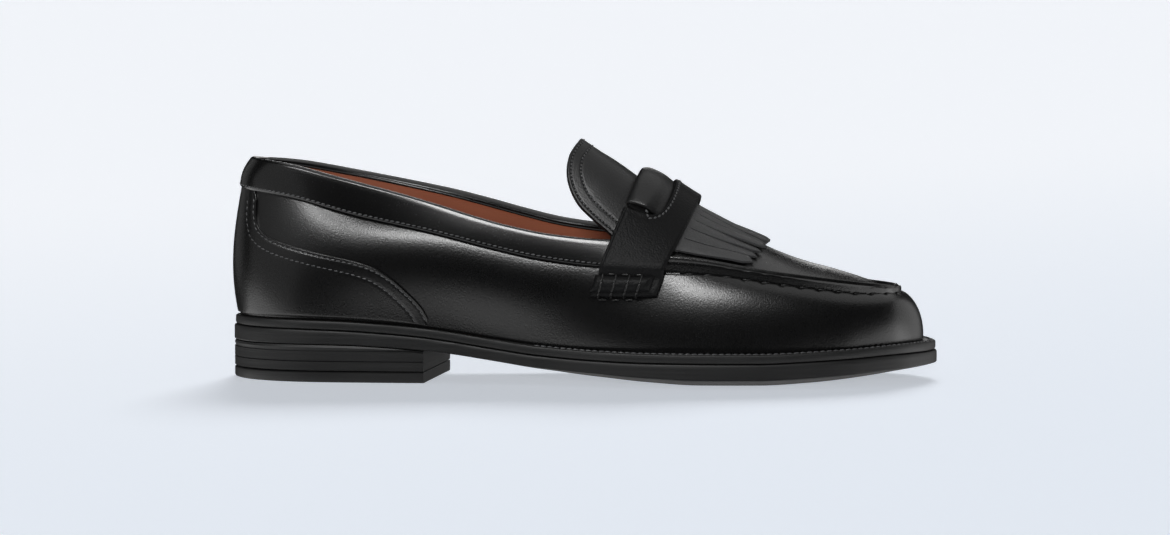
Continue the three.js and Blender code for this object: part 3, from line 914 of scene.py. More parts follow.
@dataclass
class Sheet:
    """One layer of leather on the last, with rounded edges and pressed channels.

    The arrays run over columns by rows. bottom and thickness are in millimetres over the last, and
    bottom may be a function of station and v.
    """

    station: Array
    side: Array
    v: Array
    bottom: Any
    thickness: float
    radius: float
    channels: tuple[float, ...] = ()
    sewn_last: bool = False
    depth: float = 0.2
    channel_width: float = 0.4
    sewn: Optional[Array] = None

    def level(self, station: Array, v: Array) -> Array:
        """Lift of the underside."""
        low = self.bottom(station, v) if callable(self.bottom) else self.bottom
        return np.broadcast_to(np.asarray(low, float), v.shape)

    def spans(self) -> tuple[Array, Array]:
        """Distances from the first row and from the first column, along the surface.

        Returns:
            Both distances at each place, in millimetres.
        """
        base = LAST.point(self.station, self.side, self.v)
        down = np.linalg.norm(np.diff(base, axis=1), axis=2)
        across = np.linalg.norm(np.diff(base, axis=0), axis=2)
        rows = np.concatenate([np.zeros_like(down[:, :1]), np.cumsum(down, axis=1)], axis=1)
        columns = np.concatenate([np.zeros_like(across[:1]), np.cumsum(across, axis=0)], axis=0)
        return rows, columns

    def pressed(self) -> Array:
        """How deep the sewn channels are at each place.

        Returns:
            The depths, in millimetres.
        """
        if not self.channels:
            return np.zeros(self.v.shape)
        base = LAST.point(self.station, self.side, self.v)
        edge = base[:, -1] if self.sewn_last else base[:, 0]
        edge = edge if self.sewn is None else edge[self.sewn]
        away = np.full(self.v.shape, 1e9)
        for near in np.array_split(edge, max(1, len(edge) // 20)):
            step = np.linalg.norm(base[:, :, None] - near[None, None], axis=-1).min(axis=-1)
            away = np.minimum(away, step)
        return sum(self.depth * np.exp(-(((away - c) / self.channel_width) ** 2)) for c in self.channels)

    def lift(self) -> Array:
        """Lift of the top face, which comes down to the bottom along every edge.

        Returns:
            The lift at each place, in millimetres.
        """
        rows, columns = self.spans()
        edge = np.minimum(rows, rows[:, -1:] - rows)
        edge = np.minimum(edge, np.minimum(columns, columns[-1:] - columns))
        share = np.clip(edge / self.radius, 0.0, 1.0)
        rounded = np.sqrt(np.maximum(0.0, 1.0 - (1.0 - share) ** 2))
        return self.level(self.station, self.v) + (self.thickness - self.pressed()) * rounded

    def build(self, name: str, degrees: float = 60.0) -> bpy.types.Object:
        """Makes the layer as a closed piece.

        Args:
            name: Name of the piece.
            degrees: Angle past which an edge stays a crease.

        Returns:
            The piece.
        """
        top = LAST.off(self.station, self.side, self.v, self.lift())
        bottom = LAST.off(self.station, self.side, self.v, self.level(self.station, self.v))
        piece = lay(name, two_faces(top, bottom))
        smooth(piece, degrees)
        return piece

    def line(self, inset: float, rise: float = 0.0) -> Line:
        """A line on the top face that keeps its distance from the sewn edge.

        Args:
            inset: The distance, in millimetres.
            rise: How far the line lies over the top face.

        Returns:
            The line, with one point for each column.
        """
        edge, beside = (-1, -2) if self.sewn_last else (0, 1)
        reach = self.side * (2.0 - self.v)
        start = LAST.point(self.station[:, edge], self.side[:, edge], self.v[:, edge])
        inner = LAST.point(self.station[:, beside], self.side[:, beside], self.v[:, beside])
        run = unit(np.gradient(start, axis=0))
        inward = inner - start
        inward = unit(inward - run * np.sum(run * inward, axis=1, keepdims=True))
        target = start + inward * inset
        station, reach = LAST.find(target, self.station[:, edge], reach[:, edge])
        side, v = np.where(reach < 0, OUTER, INNER), 2.0 - np.abs(reach)
        lift = self.level(station, v) + self.thickness - self.depth + rise
        return Line(LAST.off(station, side, v, lift), LAST.normal(station, side, v))


@dataclass(frozen=True)
class Stitching:
    """A row of stitches: how far apart, how long and how thick."""

    pitch: float = 2.2
    length: float = 1.75
    radius: float = 0.32
    slant: float = 9.0
    phase: float = 0.5

    def sew(self, name: str, lines: Sequence[Line]) -> bpy.types.Object:
        """Copies one stitch along every line, as one mesh.

        Args:
            name: Name of the row.
            lines: The lines that are sewn.

        Returns:
            The stitches.
        """
        bpy.ops.object.select_all(action="DESELECT")
        bpy.ops.mesh.primitive_uv_sphere_add(segments=8, ring_count=6, radius=1.0)
        stitch = bpy.context.object
        shape = np.array([vertex.co for vertex in stitch.data.vertices])
        faces = [tuple(face.vertices) for face in stitch.data.polygons]
        bpy.data.objects.remove(stitch)
        shape = shape[:, [2, 0, 1]] * (self.length / 2, self.radius, self.radius)
        turn = math.radians(self.slant)
        vertices, polygons = [], []
        for line in lines:
            places, run, out = line.spaced(self.pitch, self.phase)
            across = np.cross(out, run)
            along = run * math.cos(turn) + across * math.sin(turn)
            beside = np.cross(out, along)
            for p, a, b, n in zip(places, along, beside, out):
                start = len(vertices) * len(shape)
                vertices.append(p + shape[:, :1] * a + shape[:, 1:2] * b + shape[:, 2:] * n)
                polygons += [tuple(start + k for k in face) for face in faces]
        mesh = bpy.data.meshes.new(name)
        mesh.from_pydata(((np.concatenate(vertices) + SHIFT) * 0.001).tolist(), [], polygons)
        piece = bpy.data.objects.new(name, mesh)
        bpy.context.scene.collection.objects.link(piece)
        smooth(piece, 180.0)
        return piece


def cord_mesh(name: str, runs: Sequence[Array], radius: float) -> bpy.types.Object:
    """Thick threads along runs of points, as one mesh.

    Args:
        name: Name of the piece.
        runs: Points of each thread, in millimetres.
        radius: Radius of the thread.

    Returns:
        The threads.
    """
    pieces = []
    for run in runs:
        travelled = distances(run)
        wanted = np.linspace(0.0, travelled[-1], max(6, int(travelled[-1] / 0.5)))
        points = np.stack([np.interp(wanted, travelled, run[:, k]) for k in range(3)], axis=-1)
        tangent = unit(np.gradient(points, axis=0))
        helper = np.where(np.abs(tangent[:, 2:]) < 0.9, [[0.0, 0.0, 1.0]], [[1.0, 0.0, 0.0]])
        one = unit(np.cross(tangent, helper))
        two = np.cross(tangent, one)
        ends = np.minimum(wanted, travelled[-1] - wanted)
        thick = radius * np.sqrt(np.clip(1 - (1 - np.clip(ends / radius, 0, 1)) ** 2, 0, 1))
        turn = np.linspace(0.0, 2 * math.pi, 11)
        ring = one[:, None] * np.cos(turn)[None, :, None] + two[:, None] * np.sin(turn)[None, :, None]
        pieces.append(lay(name, points[:, None] + ring * thick[:, None, None]))
    piece = join(name, pieces)
    smooth(piece, 180.0)
    return piece


def across_instep(reach: Array, low: float) -> tuple[Array, Array]:
    """Side and v of a place on a piece that crosses the instep from -1 over the crest to 1."""
    side = np.where(reach < 0, OUTER, INNER)
    return side, 2.0 - (2.0 - low) * np.abs(reach)


def round_heel(end: float, count: int) -> tuple[Array, Array]:
    """Stations and sides of columns that go round the back of the heel."""
    places = np.linspace(-end, end, 2 * count + 1)
    return np.abs(places), np.where(places < 0, OUTER, INNER)


# The upper


@dataclass
class Upper:
    """The shell of vamp, apron and quarters, with its raised apron seam."""

    ridge_height: float = 3.5
    ridge_width: float = 2.6
    stitch_pitch: float = 7.0
    pucker: float = 0.45
    crack: float = 0.9
    start_rise: float = 0.8
    toe_fall: float = 0.35
    inner_fall: float = 0.15
    wall_shares: tuple[float, ...] = (
        0.0, 0.03, 0.07, 0.12, 0.18, 0.25, 0.32, 0.4, 0.48, 0.56, 0.64, 0.71, 0.78, 0.84, 0.88, 0.91,
        0.935, 0.955, 0.97, 0.98, 0.988, 0.995)
    ridge: Table = field(default_factory=lambda: Table("share raise", (
        (0.0, 0.0), (0.03, 0.3), (0.08, 0.6), (0.15, 0.76), (0.23, 0.8), (0.31, 0.7), (0.38, 0.8),
        (0.48, 0.95), (0.6, 1.0), (0.74, 0.95), (0.87, 0.76), (1.0, 0.38), (1.08, 0.12), (1.15, 0.0))))
    panel_count: int = 15

    def stations(self) -> Array:
        """Stations of one side, crowded where the seam is sewn."""
        parts = [np.linspace(0, 5.4, 84), np.linspace(5.4, 6.3, 28)[1:], np.linspace(6.3, TOE, 200)[1:]]
        return np.concatenate(parts)

    def seam_distance(self, stations: Array) -> Array:
        """Distance along the seam from the toe."""
        travelled = distances(LAST.seam(stations, np.full_like(stations, OUTER)))
        return travelled[-1] - travelled

    def pull(self, stations: Array) -> Array:
        """How strongly the nearest stitch pulls the leather in, from 0 to 1.

        Args:
            stations: Stations of the columns.

        Returns:
            The pull at each.
        """
        away = self.seam_distance(stations) / self.stitch_pitch
        near = (away - np.floor(away) - 0.5) * self.stitch_pitch
        return np.exp(-((near / 1.1) ** 2)) * smoothstep(stations, 7.0, 7.6)

    def skin(self) -> Array:
        """Outside points of the whole shell, columns by rows.

        Returns:
            The points, in millimetres.
        """
        one = self.stations()
        station = np.concatenate([one, one[::-1][1:]])
        side = np.concatenate([np.full(len(one), OUTER), np.full(len(one) - 1, INNER)])
        pull = np.concatenate([self.pull(one), self.pull(one)[::-1][1:]])
        top = LAST.top_edge(station, side)
        gap = np.linalg.norm(LAST.seam(station, side) - LAST.crest(station, side), axis=-1)
        ridge = np.minimum(self.ridge_width / gap, 0.6 * (top - 1))
        height = self.ridge_height + self.start_rise * smoothstep(station, 7.6, 6.4)
        height = height * (1.0 - self.toe_fall * smoothstep(station, 9.6, 11.6))
        height = height * (1.0 - self.inner_fall * smoothstep(side * (TOE - station), 0.0, 2.0))
        height = height * smoothstep(station, 6.02, 6.24)
        lean = LAST.sole_edge(station, side) - LAST.sole_edge(station, side, 0.1)
        rise = np.concatenate([lean, np.ones_like(lean[:, :1])], axis=1)
        rows = []
        for share in self.wall_shares:
            near, close = smoothstep(share, 0.84, 1.0), smoothstep(share, 0.965, 1.0)
            sewn = smoothstep(station, 6.05, 6.3)
            dent = -(self.pucker * pull * near + self.crack * close * sewn)
            rows.append(LAST.off(station, side, np.full_like(station, share), dent))
        for share, up in zip(self.ridge.column("share"), self.ridge.column("raise")):
            lip = 1.0 - 0.16 * pull * smoothstep(share, 0.6, 0.1)
            point = LAST.point(station, side, 1 + share * ridge)
            sunk = self.crack * smoothstep(station, 6.05, 6.3) * smoothstep(share, 0.12, 0.0)
            point = point - LAST.normal(station, side, np.ones_like(station)) * sunk[:, None]
            rows.append(point + rise * (height * up * lip)[:, None])
        foot = 1 + 1.15 * ridge
        for share in (np.arange(self.panel_count) + 1) / self.panel_count:
            rows.append(LAST.point(station, side, lerp(foot, top, share)))
        return np.stack(rows, axis=1)

    def build(self) -> bpy.types.Object:
        """The shell with its wall.

        Returns:
            The piece.
        """
        piece = lay("upper_shell", self.skin(), keep_open=True)
        apply_modifier(piece, "SOLIDIFY", thickness=WALL * 0.001, offset=-1.0, use_even_offset=False)
        smooth(piece, 70.0)
        return piece

    def seam_threads(self) -> bpy.types.Object:
        """The hand-sewn threads that lie in the seam's foot.

        Returns:
            The threads.
        """
        one = self.stations()
        one = one[one > 6.5]
        lines = []
        for side in (OUTER, INNER):
            sides = np.full_like(one, side)
            v = np.full_like(one, 0.985)
            lines.append(Line(LAST.off(one, sides, v, -0.35), LAST.normal(one, sides, v)))
        both = Line(np.concatenate([lines[0].points, lines[1].points[::-1]]),
                    np.concatenate([lines[0].normals, lines[1].normals[::-1]]))
        return Stitching(self.stitch_pitch, 3.4, 0.42, 6.0).sew("apron_seam_thread", [both])

    def dress(self) -> None:
        """Puts the shell and its thread on the shoe."""
        settle(self.build(), POLISHED.material(), ["upper"])
        settle(self.seam_threads(), CORD.material())


@dataclass
class LiningPart:
    """The brown lining inside the upper, below the black facing."""

    facing: float = 1.3
    thickness: float = 0.4

    def build(self) -> bpy.types.Object:
        """The lining as one thin layer.

        Returns:
            The piece.
        """
        station = both_sides(np.linspace(0.0, 10.4, 120))[:, None]
        side = np.where(station < 0, OUTER, INNER)
        station = np.abs(station)
        top = LAST.top_edge(station, side)
        step = LAST.point(station, side, top) - LAST.point(station, side, top - 0.05)
        per_v = np.linalg.norm(step, axis=-1) / 0.05
        keep = 1.0 - smoothstep(station, THROAT_START - 0.2, THROAT_END)
        top = np.minimum(top - keep * self.facing / per_v, 1.93)
        share = np.linspace(0.0, 1.0, 22)[None, :]
        v = lerp(0.03, top, share)
        station, side = np.broadcast_to(station, v.shape), np.broadcast_to(side, v.shape)
        outside = LAST.off(station, side, v, np.full(v.shape, -WALL - 0.1))
        inside = LAST.off(station, side, v, np.full(v.shape, -WALL - 0.1 - self.thickness))
        piece = lay("lining", two_faces(outside, inside))
        smooth(piece, 50.0)
        return piece

    def dress(self) -> None:
        """Puts the lining in the shoe."""
        settle(self.build(), LINING.material())


@dataclass
class CounterPart:
    """The counter that is sewn over the heel, with its two rows of stitches."""

    thickness: float = 0.8
    rows: tuple[float, float] = (1.2, 5.0)
    edge: Table = field(default_factory=lambda: Table("station high", (
        (0.0, 0.86), (0.35, 0.855), (0.7, 0.84), (0.98, 0.81), (1.13, 0.75), (1.19, 0.64), (1.3, 0.56),
        (1.56, 0.505), (1.91, 0.465), (2.3, 0.431), (2.66, 0.404), (2.92, 0.384), (3.14, 0.354),
        (3.32, 0.3), (3.5, 0.213), (3.64, 0.126), (3.7, 0.06))))

    def sheet(self) -> Sheet:
        """The counter's layer, with columns spaced along its edge.

        Returns:
            The layer.
        """
        fine = np.linspace(0.0, 3.7, 900)
        outer = np.full_like(fine, OUTER)
        spot = LAST.point(fine, outer, self.top(fine, outer))
        travelled = distances(spot)
        station = both_sides(np.interp(np.linspace(0, travelled[-1], 130), travelled, fine))
        side = np.where(station < 0, OUTER, INNER)
        station = np.abs(station)
        shares = 1.0 - eased(22, 40.0, 0.35, 6.5)[::-1]
        v = lerp(0.015, self.top(station, side)[:, None], shares[None, :])
        return Sheet(np.broadcast_to(station[:, None], v.shape), np.broadcast_to(side[:, None], v.shape), v,
                     0.0, self.thickness, 0.35, self.rows, True, 0.13, 0.4, station > 1.1)

    def top(self, station: Array, side: Array) -> Array:
        """The v of the counter's upper edge; at the back it goes on under the band.

        Args:
            station: Stations of the places.
            side: OUTER or INNER at each.

        Returns:
            The v of each place.
        """
        wall = LAST.wall_at(station, side, self.edge.along("station", "high", station))
        under = lerp(1.045, 0.9, smoothstep(station, 0.98, 1.16))
        return np.maximum(wall, np.where(station < 1.16, np.minimum(under, wall + 0.4), 0.0))

    def dress(self) -> None:
        """Puts the counter and its stitches on the shoe."""
        sheet = self.sheet()
        settle(sheet.build("counter_overlay"), POLISHED.material(), ["counter"])
        lines = []
        for inset in self.rows:
            line = sheet.line(inset)
            for side in (OUTER, INNER):
                top = LAST.seam(sheet.station[:, 0], sheet.side[:, 0])[:, 2] - 1.5
                keep = (sheet.side[:, 0] == side) & (sheet.station[:, 0] > 1.08)
                keep &= (line.points[:, 2] < top) & (line.points[:, 2] > 22.0)
                lines.append(Line(line.points[keep], line.normals[keep]))
        settle(Stitching(2.2, 1.7, 0.25).sew("counter_stitches", lines), THREAD.material())


@dataclass
class CollarBandPart:
    """The band round the opening, folded over the top edge to the inside."""

    thickness: float = 1.3
    facing: float = 0.7
    low: float = 1.003
    lean: float = 1.2

    def ring(self, station: Array, side: Array) -> Array:
        """Closed outline of the band at each column.

        Args:
            station: Stations of the places.
            side: OUTER or INNER at each.

        Returns:
            The points, columns by rows.
        """
        top = LAST.top_edge(station, side)
        here = LAST.point(station, side, top)
        out = LAST.normal(station, side, top)
        up = here - LAST.point(station, side, top - 0.03)
        per_v = np.linalg.norm(up, axis=-1) / 0.03
        up /= np.linalg.norm(up, axis=-1, keepdims=True)
        rounding = lerp(1.1, 0.4, smoothstep(station, 0.5, 2.0))
        top = top - rounding / per_v
        here = here - up * rounding[:, None]
        facing = top - self.facing / per_v
        low = np.full_like(top, self.low)
        lean = lerp(-0.5, self.lean, smoothstep(station, 0.4, 2.0))
        bulge = lerp(1.0, 0.2, smoothstep(station, 0.4, 1.8))
        outside, inside = 0.2 + self.thickness, -WALL - 0.9
        rows = []
        for share in eased(9, 12.0, 0.9)[:-6]:
            round_off = math.sqrt(max(0.0, 1 - (1 - min(share * 12.0 / 0.9, 1.0)) ** 2))
            lift = 0.1 + (outside - 0.1) * round_off + lean * share + bulge * math.sin(math.pi * share)
            rows.append(LAST.off(station, side, lerp(low, top, share), lift))
        upper = (outside + lean)[:, None]
        middle, radius = (upper + inside) / 2 + 0.2, (upper - inside) / 2 - 0.2
        for turn in np.linspace(0.0, math.pi, 12):
            lift = middle + radius * math.cos(turn)
            rows.append(here + out * lift + up * (radius * 0.6 * math.sin(turn)))
        for share in (0.3, 0.65, 0.93, 1.0):
            lift = inside + (0.75 if share == 1.0 else 0.0)
            rows.append(LAST.off(station, side, lerp(top, facing, share), np.full_like(top, lift)))
        rows.append(here + out * (-WALL - 0.1) + up * 0.05)
        rows.append(here + out * 0.05 + up * 0.05)
        rows.append(rows[0])
        return np.stack(rows, axis=1)

    def dress(self) -> None:
        """Puts the band and its stitches on the shoe."""
        station, side = round_heel(THROAT_START + 0.05, 150)
        piece = lay("collar_binding", self.ring(station, side))
        smooth(piece, 50.0)
        settle(piece, EDGED.material(), ["collar_band"])
        top = LAST.top_edge(station, side)
        per_v = np.linalg.norm(LAST.point(station, side, np.full_like(top, 1.08))
                               - LAST.point(station, side, np.full_like(top, 1.03)), axis=-1) / 0.05
        v = self.low + 1.2 / per_v
        lift = np.full_like(v, 0.3 + self.thickness + self.lean * 0.1)
        line = Line(LAST.off(station, side, v, lift), LAST.normal(station, side, v))
        sewn = Stitching(2.1, 1.6, 0.3).sew("collar_stitches", [line])
        settle(sewn, THREAD.material())


# Over the instep


@dataclass
class TonguePart:
    """The tongue that stands up behind the strap, edged and sewn twice."""

    thickness: float = 1.8
    front: float = 6.3
    low: float = 1.03
    rows: tuple[float, float] = (1.7, 5.6)
    edge: Table = field(default_factory=lambda: Table("reach station", (
        (0.0, 4.52), (0.07, 4.52), (0.15, 4.51), (0.245, 4.489), (0.35, 4.481), (0.44, 4.511),
        (0.534, 4.582), (0.62, 4.698), (0.713, 4.896), (0.778, 5.142), (0.832, 5.388), (0.88, 5.5),
        (1.0, 5.6))))

    def sheet(self) -> Sheet:
        """The tongue's layer.

        Returns:
            The layer.
        """
        one = np.unique(np.concatenate([np.linspace(0, 0.55, 36), np.linspace(0.55, 0.9, 50),
                                        np.linspace(0.9, 1.0, 12)]))
        reach = both_sides(one)[:, None]
        side, v = across_instep(reach, self.low)
        back = self.edge.along("reach", "station", np.abs(reach))
        share = eased(26, 50.0, 0.8, 8.0)[None, :]
        station = lerp(back, self.front, share)
        shape = station.shape
        lift = -WALL - 3 * GAP - self.thickness
        return Sheet(station, np.broadcast_to(side, shape), np.broadcast_to(v, shape), lift,
                     self.thickness, 0.8, self.rows)

    def dress(self) -> None:
        """Puts the tongue and its stitches on the shoe."""
        sheet = self.sheet()
        settle(sheet.build("tongue_leather"), SOFT.material(), ["tongue"])
        lines = [sheet.line(inset, 0.12).part(0.06, 0.94) for inset in self.rows]
        sewn = Stitching(1.6, 1.15, 0.36, 14.0).sew("tongue_stitches", lines)
        settle(sewn, THREAD.material())
        # Painted shade: dark blobs between the stitches stand in for the shade in the needle holes.
        hole_shade = Stitching(1.6, 0.75, 0.38, 14.0, 1.0).sew("tongue_hole_shade", lines)
        settle(hole_shade, HOLE_SHADE.material())


@dataclass
class StrapPart:
    """The strap across the instep: its window, its stitches and its puffed ends."""

    thickness: float = 1.7
    back: float = 5.42
    front: float = 6.16
    slant: float = 0.11
    end: float = 0.64
    window_reach: float = 0.665
    window_front: float = 5.77
    window_slant: float = 0.2
    row: float = 1.5
    thread: float = 0.42

    def lift(self, _: Any, v: Array) -> Array:
        """Lift of the strap's underside: on the wall at the ends, over the layers above."""
        return 0.4 + 2.05 * smoothstep(v, 0.86, 1.03) + smoothstep(v, 1.4, 1.9)

    def front_edge(self, v: Array) -> Array:
        """Station of the strap's front edge."""
        return self.front + self.slant * (2.0 - v)

    def boundary(self) -> tuple[Array, Array]:
        """Reach and station along the back edge, round the window and on to the other end.

        Returns:
            The reaches and the stations.
        """
        turn = np.linspace(0.0, math.pi, 161)
        across = -np.sign(np.cos(turn)) * np.abs(np.cos(turn)) ** 0.4
        corner = np.abs(np.sin(turn)) ** 0.4
        v = 2.0 - self.window_reach * np.abs(across)
        front = self.window_front + self.window_slant * (2.0 - v)
        station = lerp(self.back, front, corner)
        reach = self.window_reach * across
        leg = np.linspace(-(2.0 - self.end), -self.window_reach, 60)[:-1]
        reach = np.concatenate([leg, reach, -leg[::-1]])
        station = np.concatenate([np.full(59, self.back), station, np.full(59, self.back)])
        return reach, station

    def sheet(self) -> Sheet:
        """The strap's layer, with rows from the back edge and the window to the front edge.

        Returns:
            The layer.
        """
        reach, station = self.boundary()
        side, v = np.where(reach < 0, OUTER, INNER), 2.0 - np.abs(reach)
        spot = LAST.point(station, side, v)
        travelled = distances(spot)
        share = eased(150, travelled[-1], 0.7)
        reach = np.interp(share * travelled[-1], travelled, reach)
        station = np.interp(share * travelled[-1], travelled, station)
        limit = 2.0 - self.end
        far_fine = np.linspace(-limit, limit, 400)
        far_side, far_v = np.where(far_fine < 0, OUTER, INNER), 2.0 - np.abs(far_fine)
        far_spot = LAST.point(self.front_edge(far_v), far_side, far_v)
        far_travelled = distances(far_spot)
        far_reach = np.interp(share * far_travelled[-1], far_travelled, far_fine)
        across = eased(20, 22.0, 0.7, 3.2)[None, :]
        reach = lerp(reach[:, None], far_reach[:, None], across)
        v = 2.0 - np.abs(reach)
        station = lerp(station[:, None], self.front_edge(2.0 - np.abs(far_reach))[:, None], across)
        return Sheet(station, np.where(reach < 0, OUTER, INNER), v, self.lift, self.thickness, 0.7,
                     (self.row,), depth=0.3, channel_width=0.35)

    def roll(self, side: float) -> Sheet:
        """The puffed roll that is sewn over one end.

        Args:
            side: OUTER or INNER.

        Returns:
            The roll's layer.
        """
        share = eased(16, 7.0, 2.0)[None, :]
        v = lerp(self.end + 0.05, self.end + 0.265, share)
        along = eased(24, 24.0, 1.6)[:, None]
        station = lerp(self.back - 0.03, self.front_edge(v) - 0.13, along)
        v = np.broadcast_to(v, station.shape)
        return Sheet(station, np.full(station.shape, side), v,
                     lambda s, v: self.lift(s, v) + self.thickness - 0.3, 2.7, 3.0)

    def threads(self, side: float) -> list[Array]:
        """Runs of the thick thread over and beside one roll.

        Args:
            side: OUTER or INNER.

        Returns:
            Points of each thread, in millimetres.
        """
        height = self.end + 0.265
        runs = []
        stations = [5.5, 5.66, 5.83, 5.99]
        share = np.linspace(0.0, 1.0, 15)
        crown = np.sin(math.pi * np.clip(share * 1.15 - 0.05, 0.0, 1.0)) ** 0.6
        for station in stations:
            v = lerp(height + 0.02, self.end - 0.03, share)
            lift = self.lift(0, v) + self.thickness * smoothstep(v, self.end - 0.02, self.end + 0.02)
            lean = lerp(-0.02, 0.03, share)
            where = np.full(15, side)
            runs.append(LAST.off(station + lean, where, v, lift + 0.1 + 2.5 * crown))
        for v, on_strap in ((height + 0.012, True), (self.end - 0.035, False)):
            for start in (5.53, 5.7, 5.88):
                station = start + np.linspace(0.0, 0.115, 9)
                bow = 0.35 * np.sin(math.pi * np.linspace(0, 1, 9))
                level = self.lift(0, np.full(9, v)) + (self.thickness if on_strap else -0.35)
                runs.append(LAST.off(station, np.full(9, side), np.full(9, v), level + bow))
        return runs

    def dress(self) -> None:
        """Puts the strap, its rolls and its threads on the shoe."""
        sheet = self.sheet()
        settle(sheet.build("strap_leather"), MATT.material(), ["strap"])
        line = sheet.line(self.row, rise=0.12)
        chosen = 2.0 - sheet.v[:, 0] < self.window_reach + 0.01
        lines = [Line(line.points[chosen], line.normals[chosen]).part(0.1, 0.9)]
        sewn = Stitching(1.9, 1.45, 0.42, 16.0).sew("strap_stitches", lines)
        settle(sewn, THREAD.material())
        # Painted shade: dark blobs between the stitches stand in for the shade in the needle holes.
        hole_shade = Stitching(1.9, 0.8, 0.45, 16.0, 1.0).sew("strap_hole_shade", lines)
        settle(hole_shade, HOLE_SHADE.material())
        for side, node in ((OUTER, "strap_end_outer"), (INNER, "strap_end_inner")):
            settle(self.roll(side).build(node + "_roll"), MATT.material(), [node])
            thread = cord_mesh(node + "_thread", self.threads(side), self.thread)
            settle(thread, CORD.material())


@dataclass
class TabRollPart:
    """The tab that comes up through the strap's window and rolls back on itself."""

    leather: float = 1.5
    reach: float = 0.6
    start: float = 5.42
    per_station: float = 33.5
    width: float = 46.0
    edge_radius: float = 0.7
    route: Table = field(default_factory=lambda: Table("along lift", (
        (17.0, 1.7), (14.0, 2.5), (11.0, 2.95), (8.0, 3.1), (5.0, 2.7), (2.1, 1.85), (0.6, 0.4),
        (1.6, -0.9), (5.0, -1.0), (9.5, -1.0))))

    def middle(self, count: int) -> tuple[Array, Array]:
        """Points and directions of the middle of the leather, along the roll.

        Args:
            count: How many points.

        Returns:
            The points and the directions, along and up.
        """
        keys = np.stack([self.route.column("along"), self.route.column("lift")], axis=1)
        padded = np.concatenate([2 * keys[:1] - keys[1:2], keys, 2 * keys[-1:] - keys[-2:-1]])
        fine = []
        for k in range(len(keys) - 1):
            a, b, c, d = padded[k:k + 4]
            t = np.linspace(0, 1, 20, endpoint=False)[:, None]
            fine.append(0.5 * (2 * b + (c - a) * t + (2 * a - 5 * b + 4 * c - d) * t**2
                               + (3 * b - a - 3 * c + d) * t**3))
        fine = np.concatenate([*fine, keys[-1:]])
        travelled = distances(fine)
        wanted = np.linspace(0, travelled[-1], count)
        points = np.stack([np.interp(wanted, travelled, fine[:, k]) for k in range(2)], axis=1)
        return points, unit(np.gradient(points, axis=0))

    def dress(self) -> None:
        """Puts the tab on the shoe."""
        points, run = self.middle(70)
        reach = (eased(40, self.width, self.edge_radius)[:, None] * 2 - 1) * self.reach
        edge = (self.reach - np.abs(reach)) / self.reach * self.width / 2
        share = np.clip(edge / self.edge_radius, 0, 1)
        half = self.leather / 2 * np.sqrt(np.clip(1 - (1 - share) ** 2, 0, 1))
        side, v = across_instep(reach, 1.0)
        faces = []
        for face in (1.0, -1.0):
            shift = face * half
            station = self.start + (points[None, :, 0] - run[None, :, 1] * shift) / self.per_station
            lift = points[None, :, 1] + run[None, :, 0] * shift
            drop = smoothstep(v, 1.9, 1.4) * smoothstep(points[None, :, 0], 7.0, 12.0)
            lift = lift - drop * smoothstep(points[None, :, 1], 0.0, 1.0)
            shape = station.shape
            faces.append(LAST.off(station, np.broadcast_to(side, shape), np.broadcast_to(v, shape), lift))
        piece = lay("rolled_tab", two_faces(*faces))
        smooth(piece, 60.0)
        settle(piece, SOFT.material(), ["tab_roll"])


@dataclass
class KiltiePart:
    """The kiltie: a band under the strap and strips of fringe with cut tips."""

    strips: int = 13
    slit: float = 0.008
    low: float = 1.17
    back: float = 5.97
    root: float = 6.3
    tip: float = 7.34
    slant: float = 0.1
    point: float = 0.21
    thickness: float = 0.95

    def strip(self, k: int) -> Sheet:
        """One strip of the fringe, lifted and cut in its own way.

        Args:
            k: Its number, from the outer side.

        Returns:
            The strip's layer.
        """
        wave = math.sin(2.4 * k + 1.0)
        other = math.sin(5.1 * k + 0.4)
        low_edge, high_edge = (2 * (k + share) / self.strips - 1 for share in (0.0, 1.0))
        width = (high_edge - low_edge) * 33.0
        across = eased(13, width, 0.22)[:, None]
        reach = lerp(low_edge + self.slit / 2, high_edge - self.slit / 2, across)
        side, v = across_instep(reach, self.low)
        outward = across if k > self.strips // 2 else 1 - across
        cut = self.point * (np.minimum(outward, (1.0 - outward) * 2.6) - 0.3)
        tip = self.tip + self.slant * (2 - v) + 0.015 * wave + cut
        out = eased(26, 40.0, 0.22)[None, :]
        station = lerp(self.root - 0.25, tip, out)
        shape = station.shape
        across, v = np.broadcast_to(across, shape), np.broadcast_to(v, shape)
        free = smoothstep(station, 6.3, 7.3)
        twist = (0.5 + 0.45 * wave) * free**1.5 + (0.55 * other - 0.35) * (across - 0.5) * free
        crown = 0.25 * (1.0 - (2.0 * across - 1.0) ** 2) * smoothstep(station, 6.2, 6.5)
        lift = 0.65 + np.maximum(0.0, twist + 0.3 * free) + crown
        return Sheet(station, np.broadcast_to(side, shape), v, lambda s, v: lift, self.thickness, 0.14)

    def band(self) -> Sheet:
        """The plain band that the strips hang from.

        Returns:
            The band's layer.
        """
        reach = np.linspace(-1.0, 1.0, 60)[:, None]
        side, v = across_instep(reach, self.low)
        station = lerp(self.back, self.root, eased(8, 12.0, 0.6)[None, :])
        station = np.broadcast_to(station, (60, station.shape[1]))
        return Sheet(station, np.broadcast_to(side, station.shape), np.broadcast_to(v, station.shape),
                     0.65, self.thickness, 0.6)

    def dress(self) -> None:
        """Puts the kiltie on the shoe."""
        pieces = [self.strip(k).build(f"strip_{k}") for k in range(self.strips)]
        pieces.append(self.band().build("kiltie_band"))
        piece = join("kiltie_fringe", pieces)
        settle(piece, GRAINED.material(), ["kiltie"])


# The sole


